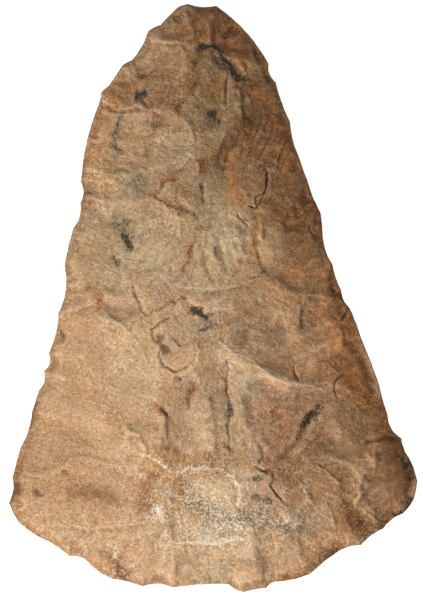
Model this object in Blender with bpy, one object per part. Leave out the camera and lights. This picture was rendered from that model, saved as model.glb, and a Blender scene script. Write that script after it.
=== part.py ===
# Stone spade: one blade of knapped stone, with a narrow butt and a flared, curved bit.
# It lies on its flatter face. X runs across the blade, Y from the bit to the butt, and Z up
# through its thickness, all in metres. The origin is under the middle of the blade.

import math
import random
from typing import NamedTuple

import bmesh
import bpy
import numpy as np
from mathutils import Vector
from mathutils.geometry import delaunay_2d_cdt

# Driving sizes
LENGTH = 0.250           # from the bit to the butt
WIDTH = 0.1735           # across the flared bit
FACE_RISE = 0.0165       # from the edge up to the crown of the upper face
BELLY_DROP = 0.0115      # from the edge down to the flat spot that the blade lies on
REST_CUT = 0.0013        # how much of the belly's swell the flat spot takes off
HAFT_CUT = 0.0010        # how much of it the haft's seat takes off, near the butt
SHOULDER = 0.0048        # how far in from the edge the worn, steeper rim reaches
CROWN_REACH = 0.072      # how far in from the edge the broad swell goes on rising
EDGE_WANDER = 0.0008     # how far the edge strays up and down between its crests
DRIFT = 0.0020           # how far a scar's outline strays from a drawn curve
DRIFT_WAVE = 0.040       # from one such stray to the next
GRID_STEP = 0.0037       # between the corners of the facets

# Proportions that stay with the stone
SHOULDER_SHARE = 0.17    # part of the rise that the worn rim takes
DEEPEST_CUT = 0.60       # most of the swell that scars may take off
TIP_PART = 0.60          # last part of a scar, along which its rim closes in
HAFT_SEAT = (-5.0, 79.0)  # the middle of the seat, placed as the crests are
CHANCE_SEED = 7          # starts every row of chance values

# Places of the facets' corners, in GRID_STEPs
RING_INSET = 0.80        # from the edge in to the first ring of corners
RING_CLEAR = 0.65        # least gap left between that ring and the edge
GRID_CLEAR = 1.40        # from the edge in to the even grid

# Crests of the flaked edge, clockwise from the butt as seen from above. Each row holds its place
# across (per cent of WIDTH from the middle), its place along (per cent of LENGTH from the bit) and
# how far the edge bows out on its way to the next crest (per cent of that stretch). A minus sign
# is a hollow, left where a flake came off.
EDGE_CRESTS = (
    # Butt and right side
    (-6.1, 100.0, -7), (0.7, 99.7, 6), (13.6, 89.8, -14), (15.4, 86.7, -3), (18.9, 79.9, -5),
    (21.2, 73.8, -2), (22.9, 70.6, -3), (26.3, 64.6, 2), (26.9, 60.6, -6), (29.2, 55.8, -3),
    (31.4, 51.4, -9), (33.6, 48.2, 2), (36.2, 43.4, 1), (40.8, 35.1, -2), (42.8, 30.3, -13),
    (46.3, 26.1, -8), (48.0, 23.0, 4),
    # Bit, from its right corner to its left one
    (50.1, 18.9, 2), (49.3, 15.9, 5), (46.6, 13.4, -8), (41.7, 10.8, -6), (36.3, 8.0, -8),
    (30.4, 6.8, -2), (24.0, 3.2, 5), (15.2, 1.8, -9), (13.0, 0.7, -3), (7.4, 0.0, 7),
    (3.7, 1.4, -2), (-10.0, 0.8, -10), (-17.4, 1.0, -3), (-24.8, 2.3, 7), (-30.8, 5.2, -12),
    (-35.3, 6.1, -4), (-41.9, 9.1, 4), (-47.8, 11.9, 3), (-50.2, 15.2, -9),
    # Left side, up to the butt
    (-49.3, 19.6, 0), (-47.4, 24.6, -6), (-44.5, 30.8, -1), (-42.9, 34.3, -15), (-41.6, 37.6, -19),
    (-40.4, 40.7, -5), (-38.0, 47.5, -9), (-36.6, 55.5, 1), (-34.4, 61.9, -12), (-32.7, 66.2, -14),
    (-32.5, 69.7, 4), (-28.5, 82.3, -4), (-27.6, 84.8, 6), (-25.7, 86.1, 0), (-22.5, 89.4, 5),
    (-19.9, 90.5, -5), (-16.1, 95.2, 8), (-13.0, 96.4, 1), (-9.1, 99.2, 7),
)

# How a flake's far end left the face: the higher, the steeper the step there
FEATHERED = 2.0
ROUNDED = 3.2
HINGED = 5.5

# Large flake scars of the upper face: root and tip as the crests are placed, width (per cent of
# LENGTH), depth (per cent of FACE_RISE) and the way it ended
FACE_FLAKES = (
    # Butt
    (-16.5, 95.5, -0.5, 96.6, 6.8, 7, ROUNDED),
    (10.5, 93.5, -0.5, 96.3, 8.5, 9, ROUNDED),
    (-27.5, 86.5, -3.2, 88.1, 11.2, 10, ROUNDED),
    (0.5, 93.0, 0.5, 71.0, 8.0, 5, FEATHERED),
    # Left side, down to the bit
    (-32.0, 76.9, -4.4, 76.9, 11.2, 12, ROUNDED),
    (-33.5, 69.5, -23.0, 69.0, 4.8, 5, ROUNDED),
    (-36.0, 59.0, -6.0, 59.6, 16.0, 10, ROUNDED),
    (-38.0, 49.7, -16.0, 48.7, 5.8, 5, ROUNDED),
    (-39.5, 46.0, -26.5, 46.6, 5.1, 4, ROUNDED),
    (-45.0, 31.5, -12.0, 36.6, 27.0, 12, ROUNDED),
    (-50.0, 15.7, -15.5, 17.0, 17.0, 9, FEATHERED),
    # Right side, down to the bit
    (15.5, 87.4, 2.5, 86.0, 8.5, 5, FEATHERED),
    (19.0, 80.0, 6.0, 81.5, 10.0, 7, FEATHERED),
    (23.0, 71.5, 12.3, 71.0, 11.0, 7, ROUNDED),
    (27.0, 63.0, 8.0, 62.2, 13.0, 8, FEATHERED),
    (31.0, 54.0, 10.0, 56.6, 11.4, 9, FEATHERED),
    (-1.7, 49.7, -1.7, 66.0, 14.6, 5, FEATHERED),
    (34.0, 41.0, -1.7, 48.7, 15.6, 12, ROUNDED),
    (38.0, 41.2, 22.0, 42.9, 12.6, 14, ROUNDED),
    (44.0, 28.4, 4.7, 31.0, 15.6, 10, ROUNDED),
    (50.8, 17.4, 37.2, 17.4, 17.0, 13, HINGED),
    # Bit, and the long ones that run up the middle from it
    (41.5, 9.8, 19.0, 20.8, 12.0, 8, ROUNDED),
    (-4.0, 15.5, -4.0, 44.5, 10.6, 8, FEATHERED),
    (-2.0, 2.0, -2.0, 21.5, 13.0, 11, ROUNDED),
    (-41.0, 8.0, -32.5, 17.4, 9.5, 7, FEATHERED),
    (-26.5, 2.0, -23.5, 13.0, 10.5, 7, FEATHERED),
    (-14.0, 0.4, -13.0, 9.8, 8.5, 6, FEATHERED),
    (7.5, -1.0, 6.5, 9.0, 6.8, 6, FEATHERED),
    (17.5, 0.8, 14.5, 15.6, 10.2, 7, ROUNDED),
    (27.5, 4.5, 21.5, 13.0, 8.5, 6, FEATHERED),
    (37.0, 7.5, 29.0, 14.8, 7.8, 6, FEATHERED),
)

# The belly's scars are laid out by rule: rows along both sides, and a fan along the bit
BELLY_SIDE_FLAKES = 7
BELLY_BIT_FLAKES = 5
BELLY_FLAKE_REACH = 0.62     # of the way from the edge to the middle line
BELLY_FLAKE_DEPTH = 0.10     # of BELLY_DROP
BELLY_FLAKE_WIDTH = 0.155    # of LENGTH
BELLY_ROWS = (0.14, 0.94)    # from the lowest to the highest scar at a side, as shares of LENGTH
BELLY_FAN_SPREAD = 0.76      # of WIDTH, from the first to the last scar along the bit
BELLY_FAN_REACH = 0.20       # of LENGTH

# Small scars left by trimming the edge, one in each hollow between two crests
TRIM_REACH = 1.3             # of the hollow's own length, and no more than TRIM_LONGEST
TRIM_LONGEST = 0.017
TRIM_WIDEST = 0.014
TRIM_DEPTH = 0.05            # of the face's rise


class Flake(NamedTuple):
    """One scar: where it was struck, where it ran out, its width and depth, and its far end."""
    root: tuple
    tip: tuple
    width: float
    depth: float
    end: float


def place(across, along):
    """A point of the plan, from per cent across and along to metres."""
    return np.array((across / 100 * WIDTH, (along / 100 - 0.5) * LENGTH))


def edge_points(step):
    """The blade's outline as points, with each one's stray up or down, fitted to its full size."""
    chance = random.Random(CHANCE_SEED)
    corners = [place(across, along) for across, along, _ in EDGE_CRESTS]
    strays = [chance.uniform(-EDGE_WANDER, EDGE_WANDER) for _ in EDGE_CRESTS]
    points = []
    levels = []
    for index, (_, _, bow) in enumerate(EDGE_CRESTS):
        start = corners[index]
        run = corners[(index + 1) % len(corners)] - start
        outwards = np.array((-run[1], run[0]))
        pieces = max(1, round(np.hypot(*run) / step))
        for share in np.arange(pieces) / pieces:
            hump = 4 * share * (1 - share)
            points.append(start + share * run + bow / 100 * hump * outwards)
            levels.append((1 - share) * strays[index] + share * strays[(index + 1) % len(strays)])
    points = np.array(points)
    low = points.min(axis=0)
    high = points.max(axis=0)
    points = (points - (low + high) / 2) * np.array((WIDTH, LENGTH)) / (high - low)
    return points, np.array(levels)


def edge_distance(points, rim):
    """How far each point is from the edge."""
    nearest = np.full(len(points), np.inf)
    for start, run in zip(rim, np.roll(rim, -1, axis=0) - rim):
        share = np.clip((points - start) @ run / (run @ run), 0, 1)
        gap = np.hypot(*(points - start - share[:, None] * run).T)
        nearest = np.minimum(nearest, gap)
    return nearest


def soft_edge(points, rim, levels):
    """A soft distance from the edge, with no crease along the middle of the blade, and the
    edge's own stray up or down as it is felt at each point."""
    runs = np.roll(rim, -1, axis=0) - rim
    spans = np.hypot(*runs.T)
    middles = (levels + np.roll(levels, -1)) / 2
    pull = np.zeros(len(points))
    stray = np.zeros(len(points))
    for corner, span, level in zip(rim + runs / 2, spans, middles):
        reach = np.hypot(*(points - corner).T) + span / 4
        weight = 0.75 * span / reach**5
        pull += weight
        stray += weight * level
    return pull**-0.25, stray / pull


def swell(points, rim, levels, rise):
    """An uncut face: its height over the edge, a worn rim and then a broad crown, and how far
    the edge's stray lifts or lowers it."""
    distance = edge_distance(points, rim)
    broad, stray = soft_edge(points, rim, levels)
    worn = 1 - np.exp(-distance / SHOULDER)
    crown = 1 - (1 - np.clip(np.minimum(broad, distance) / CROWN_REACH, 0, 1))**2
    height = rise * (SHOULDER_SHARE * worn + (1 - SHOULDER_SHARE) * crown)
    return height, stray * np.exp(-distance / (2 * SHOULDER))


def drifted(points):
    """Points pushed about by slow waves, so that no scar keeps a drawn outline."""
    x, y = 2 * math.pi / DRIFT_WAVE * points.T
    across = np.sin(0.9 * y + 0.7) + 0.6 * np.sin(1.7 * x - 1.2 * y + 1.1)
    along = np.sin(1.1 * x + 2.1) + 0.6 * np.sin(1.9 * y + 0.8 * x)
    return points + DRIFT * np.stack((across, along), axis=1)


def flake_depth(points, flake):
    """Depth of one scar at each point: most along its middle, nothing past its rim."""
    root = np.array(flake.root)
    run = np.array(flake.tip) - root
    reach = np.hypot(*run)
    along = (points - root) @ run / reach**2
    aside = (points - root) @ np.array((-run[1], run[0])) / reach / (flake.width / 2)
    past = np.clip((along - 1 + TIP_PART) / TIP_PART, 0, None)
    rim = np.hypot(past, aside)
    return flake.depth * np.clip(1 - rim**flake.end, 0, None)


def scarred(height, points, flakes):
    """A face's height once its flakes are off. The edge itself stays where it is."""
    strayed = drifted(points)
    depth = np.max([flake_depth(strayed, flake) for flake in flakes], axis=0)
    most = DEEPEST_CUT * height + 1e-9
    return height - most * np.tanh(depth / most)


def face_flakes():
    """The large scars of the upper face."""
    flakes = []
    for across, along, tip_across, tip_along, width, depth, end in FACE_FLAKES:
        root = place(across, along)
        tip = place(tip_across, tip_along)
        flakes.append(Flake(root, tip, width / 100 * LENGTH, depth / 100 * FACE_RISE, end))
    return flakes


def side_point(rim, side, along):
    """The point of the outline on one side, at a height given as a share of LENGTH."""
    level = (along - 0.5) * LENGTH
    edge = rim[rim[:, 0] * side > 0]
    return edge[np.argmin(np.abs(edge[:, 1] - level))]


def belly_flakes(rim):
    """The belly's scars: struck in from both sides in turn, and up from the bit."""
    chance = random.Random(CHANCE_SEED)
    depth = BELLY_FLAKE_DEPTH * BELLY_DROP
    lowest, highest = BELLY_ROWS
    flakes = []
    for side in (-1, 1):
        for row in range(BELLY_SIDE_FLAKES):
            share = (row + chance.uniform(0.25, 0.75)) / BELLY_SIDE_FLAKES
            along = lowest + (highest - lowest) * share
            root = side_point(rim, side, along)
            reach = BELLY_FLAKE_REACH * chance.uniform(0.75, 1.15)
            drift = chance.uniform(-0.04, 0.05) * LENGTH
            tip = root * (1 - reach, 1) + (0, drift)
            width = chance.uniform(0.84, 1.22) * BELLY_FLAKE_WIDTH * LENGTH
            flakes.append(Flake(root, tip, width, depth * chance.uniform(0.7, 1.4), ROUNDED))
    for row in range(BELLY_BIT_FLAKES):
        across = BELLY_FAN_SPREAD * ((row + 0.5) / BELLY_BIT_FLAKES - 0.5) * WIDTH
        low = rim[rim[:, 1] < 0]
        root = low[np.argmin(np.abs(low[:, 0] - across))]
        tip = root * (0.85, 1) + (0, chance.uniform(0.8, 1.2) * BELLY_FAN_REACH * LENGTH)
        width = chance.uniform(0.78, 1.1) * BELLY_FLAKE_WIDTH * LENGTH
        flakes.append(Flake(root, tip, width, depth * chance.uniform(0.8, 1.3), FEATHERED))
    return flakes


def trim_flakes(face, rise):
    """Small scars in the edge's hollows, on the upper face (1) or on the belly (-1) or both."""
    chance = random.Random(CHANCE_SEED + face)
    flakes = []
    for index, (across, along, bow) in enumerate(EDGE_CRESTS):
        start = place(across, along)
        end = place(*EDGE_CRESTS[(index + 1) % len(EDGE_CRESTS)][:2])
        size = chance.uniform(0.5, 1.2)
        if bow >= 0:
            continue
        run = end - start
        chord = np.hypot(*run)
        inwards = np.array((run[1], -run[0])) / chord
        root = (start + end) / 2
        tip = root + inwards * min(TRIM_REACH * chord, TRIM_LONGEST) * size
        width = min(1.3 * chord, TRIM_WIDEST)
        flakes.append(Flake(root, tip, width, TRIM_DEPTH * rise * size, FEATHERED))
    return flakes


def face_heights(points, rim, levels):
    """Height of the upper face at each point."""
    height, stray = swell(points, rim, levels, FACE_RISE)
    height = scarred(height, points, face_flakes() + trim_flakes(1, FACE_RISE))
    return BELLY_DROP + stray + height


def belly_swell(points, rim, levels):
    """Height of the belly before its two flat spots are cut, first uncut and then scarred."""
    depth, stray = swell(points, rim, levels, BELLY_DROP + REST_CUT)
    cut = scarred(depth, points, belly_flakes(rim) + trim_flakes(-1, BELLY_DROP))
    return BELLY_DROP + stray - depth, BELLY_DROP + stray - cut


def haft_plane(rim, levels):
    """The haft's seat: a flat that follows the belly's slope near the butt. Returns a point on it
    and how steeply it climbs across and along."""
    middle = place(*HAFT_SEAT)
    probe = SHOULDER
    spots = middle + np.array(((0, 0), (-probe, 0), (probe, 0), (0, -probe), (0, probe)))
    uncut = belly_swell(spots, rim, levels)[0]
    slope = np.array((uncut[2] - uncut[1], uncut[4] - uncut[3])) / (2 * probe)
    return np.append(middle, uncut[0] + HAFT_CUT), slope


def belly_heights(points, rim, levels):
    """Height of the belly at each point, with its rest at zero and its seat for a haft."""
    seat, slope = haft_plane(rim, levels)
    plane = seat[2] + (points - seat[:2]) @ slope
    return np.maximum.reduce((belly_swell(points, rim, levels)[1], np.zeros(len(points)), plane))


def lattice(rim, step):
    """Points inside the outline: a ring just in from the edge, then a triangular grid."""
    ahead = np.roll(rim, -1, axis=0) - np.roll(rim, 1, axis=0)
    inwards = np.stack((ahead[:, 1], -ahead[:, 0]), axis=1)
    inwards /= np.hypot(*inwards.T)[:, None]
    ring = rim + RING_INSET * step * inwards
    ring = ring[edge_distance(ring, rim) > RING_CLEAR * step]
    rows = []
    row_gap = step * math.sqrt(0.75)
    for number, level in enumerate(np.arange(-LENGTH / 2, LENGTH / 2, row_gap)):
        across = np.arange(-WIDTH / 2, WIDTH / 2, step) + step / 2 * (number % 2)
        rows.append(np.stack((across, np.full(len(across), level)), axis=1))
    grid = np.concatenate(rows)
    grid = grid[lies_inside(grid, rim)]
    grid = grid[edge_distance(grid, rim) > GRID_CLEAR * step]
    return np.concatenate((ring, grid))


def lies_inside(points, rim):
    """Whether each point lies inside the outline, by counting the sides that a line crosses."""
    inside = np.zeros(len(points), dtype=bool)
    for start, end in zip(rim, np.roll(rim, -1, axis=0)):
        spans = (start[1] > points[:, 1]) != (end[1] > points[:, 1])
        if start[1] == end[1]:
            continue
        crossing = start[0] + (points[:, 1] - start[1]) / (end[1] - start[1]) * (end[0] - start[0])
        inside ^= spans & (points[:, 0] < crossing)
    return inside


def triangulate(rim, inner):
    """Triangles over the outline. No side joins two rim points across the stone, because the two
    faces would then share it."""
    count = len(rim)
    loop = [(index, (index + 1) % count) for index in range(count)]
    while True:
        points = np.concatenate((rim, inner))
        vectors = [Vector(point) for point in points]
        result = delaunay_2d_cdt(vectors, loop, [], 1, 1e-8)
        source = [origin[0] for origin in result[3]]
        triangles = [[source[corner] for corner in face] for face in result[2]]
        chords = set()
        for face in triangles:
            for a, b in zip(face, face[1:] + face[:1]):
                if max(a, b) < count and (b - a) % count not in (1, count - 1):
                    chords.add((min(a, b), max(a, b)))
        if not chords:
            return points, triangles
        middles = [(points[a] + points[b]) / 2 for a, b in chords]
        inner = np.concatenate((inner, middles))


def stone_material():
    """Tan, weathered stone."""
    material = bpy.data.materials.new("weathered_stone")
    material.use_nodes = True
    shader = material.node_tree.nodes["Principled BSDF"]
    shader.inputs["Base Color"].default_value = (0.42, 0.27, 0.16, 1)
    shader.inputs["Roughness"].default_value = 0.75
    shader.inputs["Metallic"].default_value = 0
    return material


def build_spade():
    """The blade: the same triangles twice, lifted to the upper face and let down to the belly,
    and joined along the edge."""
    rim, levels = edge_points(GRID_STEP)
    points, triangles = triangulate(rim, lattice(rim, GRID_STEP))
    upper = face_heights(points, rim, levels)
    lower = belly_heights(points, rim, levels)
    # The rim is one row of corners for both faces, at the edge's own level
    count = len(rim)
    upper[:count] = BELLY_DROP + levels
    build = bmesh.new()
    top = [build.verts.new((*point, level)) for point, level in zip(points, upper)]
    bottom = top[:count]
    bottom += [build.verts.new((*point, level)) for point, level in zip(points[count:], lower[count:])]
    for a, b, c in triangles:
        build.faces.new((top[a], top[b], top[c]))
        build.faces.new((bottom[c], bottom[b], bottom[a]))
    bmesh.ops.recalc_face_normals(build, faces=build.faces)
    mesh = bpy.data.meshes.new("stone_spade")
    build.to_mesh(mesh)
    build.free()
    mesh.shade_smooth()
    mesh.set_sharp_from_angle(angle=math.radians(28))
    mesh.materials.append(stone_material())
    spade = bpy.data.objects.new("stone_spade", mesh)
    bpy.context.scene.collection.objects.link(spade)
    return spade


for leftover in list(bpy.data.objects):
    bpy.data.objects.remove(leftover)
build_spade()
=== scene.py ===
# %% [markdown]
# # A knapped stone spade
# The object is one blade of weathered tan stone, chipped to shape: a narrow butt above, a flared
# and curved bit below, and both faces covered in flake scars. It lies on its flatter face, and
# the camera looks straight down on it.
#
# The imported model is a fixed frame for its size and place. A plain solid can't show the stone's
# skin, so this file models that skin as a finer mesh, in five steps: outline, swell, scars, the
# small relief that only a raking light shows, and then stains and colour.

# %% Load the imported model
import math
import random
from typing import NamedTuple

import bpy
import numpy as np
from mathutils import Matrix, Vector, kdtree, noise
from mathutils.geometry import delaunay_2d_cdt


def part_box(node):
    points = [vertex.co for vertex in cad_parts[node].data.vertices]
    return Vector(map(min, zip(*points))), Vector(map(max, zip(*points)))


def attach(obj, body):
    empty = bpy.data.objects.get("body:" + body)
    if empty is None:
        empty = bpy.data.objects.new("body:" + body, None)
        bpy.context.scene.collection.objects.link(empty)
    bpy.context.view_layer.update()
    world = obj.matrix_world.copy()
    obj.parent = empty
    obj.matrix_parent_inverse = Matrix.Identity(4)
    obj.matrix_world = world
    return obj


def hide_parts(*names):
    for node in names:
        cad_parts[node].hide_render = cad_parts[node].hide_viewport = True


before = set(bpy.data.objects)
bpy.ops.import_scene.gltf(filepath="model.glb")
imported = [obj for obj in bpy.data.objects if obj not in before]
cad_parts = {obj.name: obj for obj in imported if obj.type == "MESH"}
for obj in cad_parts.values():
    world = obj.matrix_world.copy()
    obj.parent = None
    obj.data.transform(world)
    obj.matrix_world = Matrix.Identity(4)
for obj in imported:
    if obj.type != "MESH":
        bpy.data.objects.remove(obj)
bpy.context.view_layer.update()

low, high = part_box("stone_spade")
WIDTH, LENGTH, THICKNESS = high - low
MM = 0.001
print(f"the frame's blade is {WIDTH / MM:.1f} x {LENGTH / MM:.1f} x {THICKNESS / MM:.1f} mm")

# %% [markdown]
# ## The outline
# A knapped edge is a row of crests with a shallow bite between each two, where a flake came off.
# Each row below holds a crest's place, in per cent of the width and length, and how far the edge
# bows on its way to the next one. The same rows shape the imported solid, so the dressed stone
# keeps its form. Here the edge is drawn in much finer steps, with a slight raggedness that a
# plain solid leaves out.

# %% The flaked edge
EDGE_CRESTS = (
    # Butt and right side
    (-6.1, 100.0, -7), (0.7, 99.7, 6), (13.6, 89.8, -14), (15.4, 86.7, -3), (18.9, 79.9, -5),
    (21.2, 73.8, -2), (22.9, 70.6, -3), (26.3, 64.6, 2), (26.9, 60.6, -6), (29.2, 55.8, -3),
    (31.4, 51.4, -9), (33.6, 48.2, 2), (36.2, 43.4, 1), (40.8, 35.1, -2), (42.8, 30.3, -13),
    (46.3, 26.1, -8), (48.0, 23.0, 4),
    # Bit, from its right corner to its left one
    (50.1, 18.9, 2), (49.3, 15.9, 5), (46.6, 13.4, -8), (41.7, 10.8, -6), (36.3, 8.0, -8),
    (30.4, 6.8, -2), (24.0, 3.2, 5), (15.2, 1.8, -9), (13.0, 0.7, -3), (7.4, 0.0, 7),
    (3.7, 1.4, -2), (-10.0, 0.8, -10), (-17.4, 1.0, -3), (-24.8, 2.3, 7), (-30.8, 5.2, -12),
    (-35.3, 6.1, -4), (-41.9, 9.1, 4), (-47.8, 11.9, 3), (-50.2, 15.2, -9),
    # Left side, up to the butt
    (-49.3, 19.6, 0), (-47.4, 24.6, -6), (-44.5, 30.8, -1), (-42.9, 34.3, -15), (-41.6, 37.6, -19),
    (-40.4, 40.7, -5), (-38.0, 47.5, -9), (-36.6, 55.5, 1), (-34.4, 61.9, -12), (-32.7, 66.2, -14),
    (-32.5, 69.7, 4), (-28.5, 82.3, -4), (-27.6, 84.8, 6), (-25.7, 86.1, 0), (-22.5, 89.4, 5),
    (-19.9, 90.5, -5), (-16.1, 95.2, 8), (-13.0, 96.4, 1), (-9.1, 99.2, 7),
)
EDGE_WANDER = 0.8 * MM       # how far the edge strays up and down between its crests
CHANCE_SEED = 7
CAD_STEP = 3.7 * MM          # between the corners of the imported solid's edge
EDGE_STEP = 0.72 * MM        # between the corners of this finer edge
RAGGED = 0.16 * MM           # how far the finer edge strays in and out
RAGGED_WAVE = 2.6 * MM       # from one such stray to the next


def place(across, along):
    """A point of the plan, from per cent across and along to metres."""
    return np.array((across / 100 * WIDTH, (along / 100 - 0.5) * LENGTH))


def edge_points(step):
    """The outline as points, with each one's stray up or down, fitted to the blade's full size."""
    chance = random.Random(CHANCE_SEED)
    corners = [place(across, along) for across, along, _ in EDGE_CRESTS]
    strays = [chance.uniform(-EDGE_WANDER, EDGE_WANDER) for _ in EDGE_CRESTS]
    points = []
    levels = []
    for index, (_, _, bow) in enumerate(EDGE_CRESTS):
        start = corners[index]
        run = corners[(index + 1) % len(corners)] - start
        outwards = np.array((-run[1], run[0]))
        pieces = max(1, round(np.hypot(*run) / step))
        for share in np.arange(pieces) / pieces:
            hump = 4 * share * (1 - share)
            points.append(start + share * run + bow / 100 * hump * outwards)
            levels.append((1 - share) * strays[index] + share * strays[(index + 1) % len(strays)])
    points = np.array(points)
    least = points.min(axis=0)
    most = points.max(axis=0)
    points = (points - (least + most) / 2) * np.array((WIDTH, LENGTH)) / (most - least)
    return points, np.array(levels)


def rough(points, wave, layer, octaves=2):
    """Chance relief between about -1 and 1 at points of the plan: wave is its size, and layer
    picks one of many such reliefs."""
    return np.array([noise.fractal((x / wave, y / wave, layer), 0.8, 2.0, octaves) for x, y in points])


def outwards_of(line):
    """At each point of a closed line that runs clockwise, the direction away from its inside."""
    ahead = np.roll(line, -1, axis=0) - np.roll(line, 1, axis=0)
    away = np.stack((-ahead[:, 1], ahead[:, 0]), axis=1)
    return away / np.hypot(*away.T)[:, None]


solid_rim, solid_levels = edge_points(CAD_STEP)
rim, rim_levels = edge_points(EDGE_STEP)
rim = rim + outwards_of(rim) * (RAGGED * rough(rim, RAGGED_WAVE, 3.0))[:, None]
print(f"the edge has {len(EDGE_CRESTS)} crests and {len(rim)} corners")

# %% [markdown]
# ## The swell of the two faces
# Before its flakes came off, the blade was a flattened pebble: from the edge it rises steeply
# through a worn rim, then more and more gently up to a broad crown. A height over the plan is
# enough for that, because nothing on the blade hangs over. The rise depends on how far a point is
# from the edge, and on a softened distance that leaves no crease along the middle.

# %% Swell
FACE_SHARE = 0.617           # of the thickness, from the edge up to the crown
BELLY_SHARE = 0.430          # of the thickness, from the edge down to the table
FACE_RISE = FACE_SHARE * THICKNESS
BELLY_DROP = BELLY_SHARE * THICKNESS
REST_CUT = 1.3 * MM          # how much of the belly's swell the flat spot takes off
HAFT_CUT = 1.0 * MM          # how much of it the haft's seat takes off, near the butt
HAFT_SEAT = (-5.0, 79.0)
SHOULDER = 4.8 * MM          # how far in from the edge the worn, steeper rim reaches
SHOULDER_PART = 0.17         # part of the rise that the worn rim takes
CROWN_REACH = 72 * MM        # how far in from the edge the broad swell goes on rising


def tree_of(points):
    """A search tree over points of the plan."""
    tree = kdtree.KDTree(len(points))
    for index, (x, y) in enumerate(points):
        tree.insert((x, y, 0), index)
    tree.balance()
    return tree


def gap_to(tree, points):
    """How far each point of the plan is from the nearest one in a search tree."""
    return np.array([tree.find((x, y, 0))[2] for x, y in points])


def soft_edge(points):
    """A soft distance from the edge, and the edge's own stray up or down as felt at each point.
    All sides of the edge pull, the near ones most. By one long, straight side the distance comes
    out almost true, which is what 0.75 and the fourth root are for."""
    runs = np.roll(solid_rim, -1, axis=0) - solid_rim
    spans = np.hypot(*runs.T)
    middles = (solid_levels + np.roll(solid_levels, -1)) / 2
    pull = np.zeros(len(points))
    stray = np.zeros(len(points))
    for corner, span, level in zip(solid_rim + runs / 2, spans, middles):
        reach = np.hypot(*(points - corner).T) + span / 4
        weight = 0.75 * span / reach**5
        pull += weight
        stray += weight * level
    return pull**-0.25, stray / pull


def lies_inside(points):
    """Whether each point lies inside the outline, by counting the sides that a line crosses."""
    inside = np.zeros(len(points), dtype=bool)
    for start, end in zip(rim, np.roll(rim, -1, axis=0)):
        spans = (start[1] > points[:, 1]) != (end[1] > points[:, 1])
        if not spans.any():
            continue
        crossing = start[0] + (points[:, 1] - start[1]) / (end[1] - start[1]) * (end[0] - start[0])
        inside ^= spans & (points[:, 0] < crossing)
    return inside


def swell(points, rise):
    """An uncut face: its height over the edge, and the edge's stray as it fades inwards."""
    distance = gap_to(edge_tree, points)
    broad, stray = soft_edge(points)
    worn = 1 - np.exp(-distance / SHOULDER)
    crown = 1 - (1 - np.clip(np.minimum(broad, distance) / CROWN_REACH, 0, 1))**2
    height = rise * (SHOULDER_PART * worn + (1 - SHOULDER_PART) * crown)
    return height, stray * np.exp(-distance / (2 * SHOULDER))


rim_sides = np.roll(rim, -1, axis=0) - rim
edge_tree = tree_of(np.concatenate([rim + share * rim_sides for share in (0, 0.25, 0.5, 0.75)]))
middle_height = swell(np.zeros((1, 2)), FACE_RISE)[0][0]
print(f"the upper face stands {middle_height / MM:.1f} mm over the edge at its middle")

# %% [markdown]
# ## Large flake scars
# Each flake left a shallow dish that starts at the edge and runs in towards the middle, and the
# blade's facets are what those dishes leave between them. The scars of the upper face follow the
# photograph. Those of the belly, which the photograph hides, are laid out by rule. A flake's far
# end runs out softly, or stops in a step. All scars are cut at once, with the deepest one winning
# at each point, because that is what makes the sharp arris where two of them meet.

# %% Scars
DEEPEST_CUT = 0.60           # most of the swell that scars may take off
DRIFT = 2.0 * MM             # how far a scar's outline strays from a drawn curve
DRIFT_WAVE = 40 * MM
TIP_PART = 0.60              # last part of a scar, along which its rim closes in
FEATHERED, ROUNDED, HINGED = 2.0, 3.2, 5.5

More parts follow.
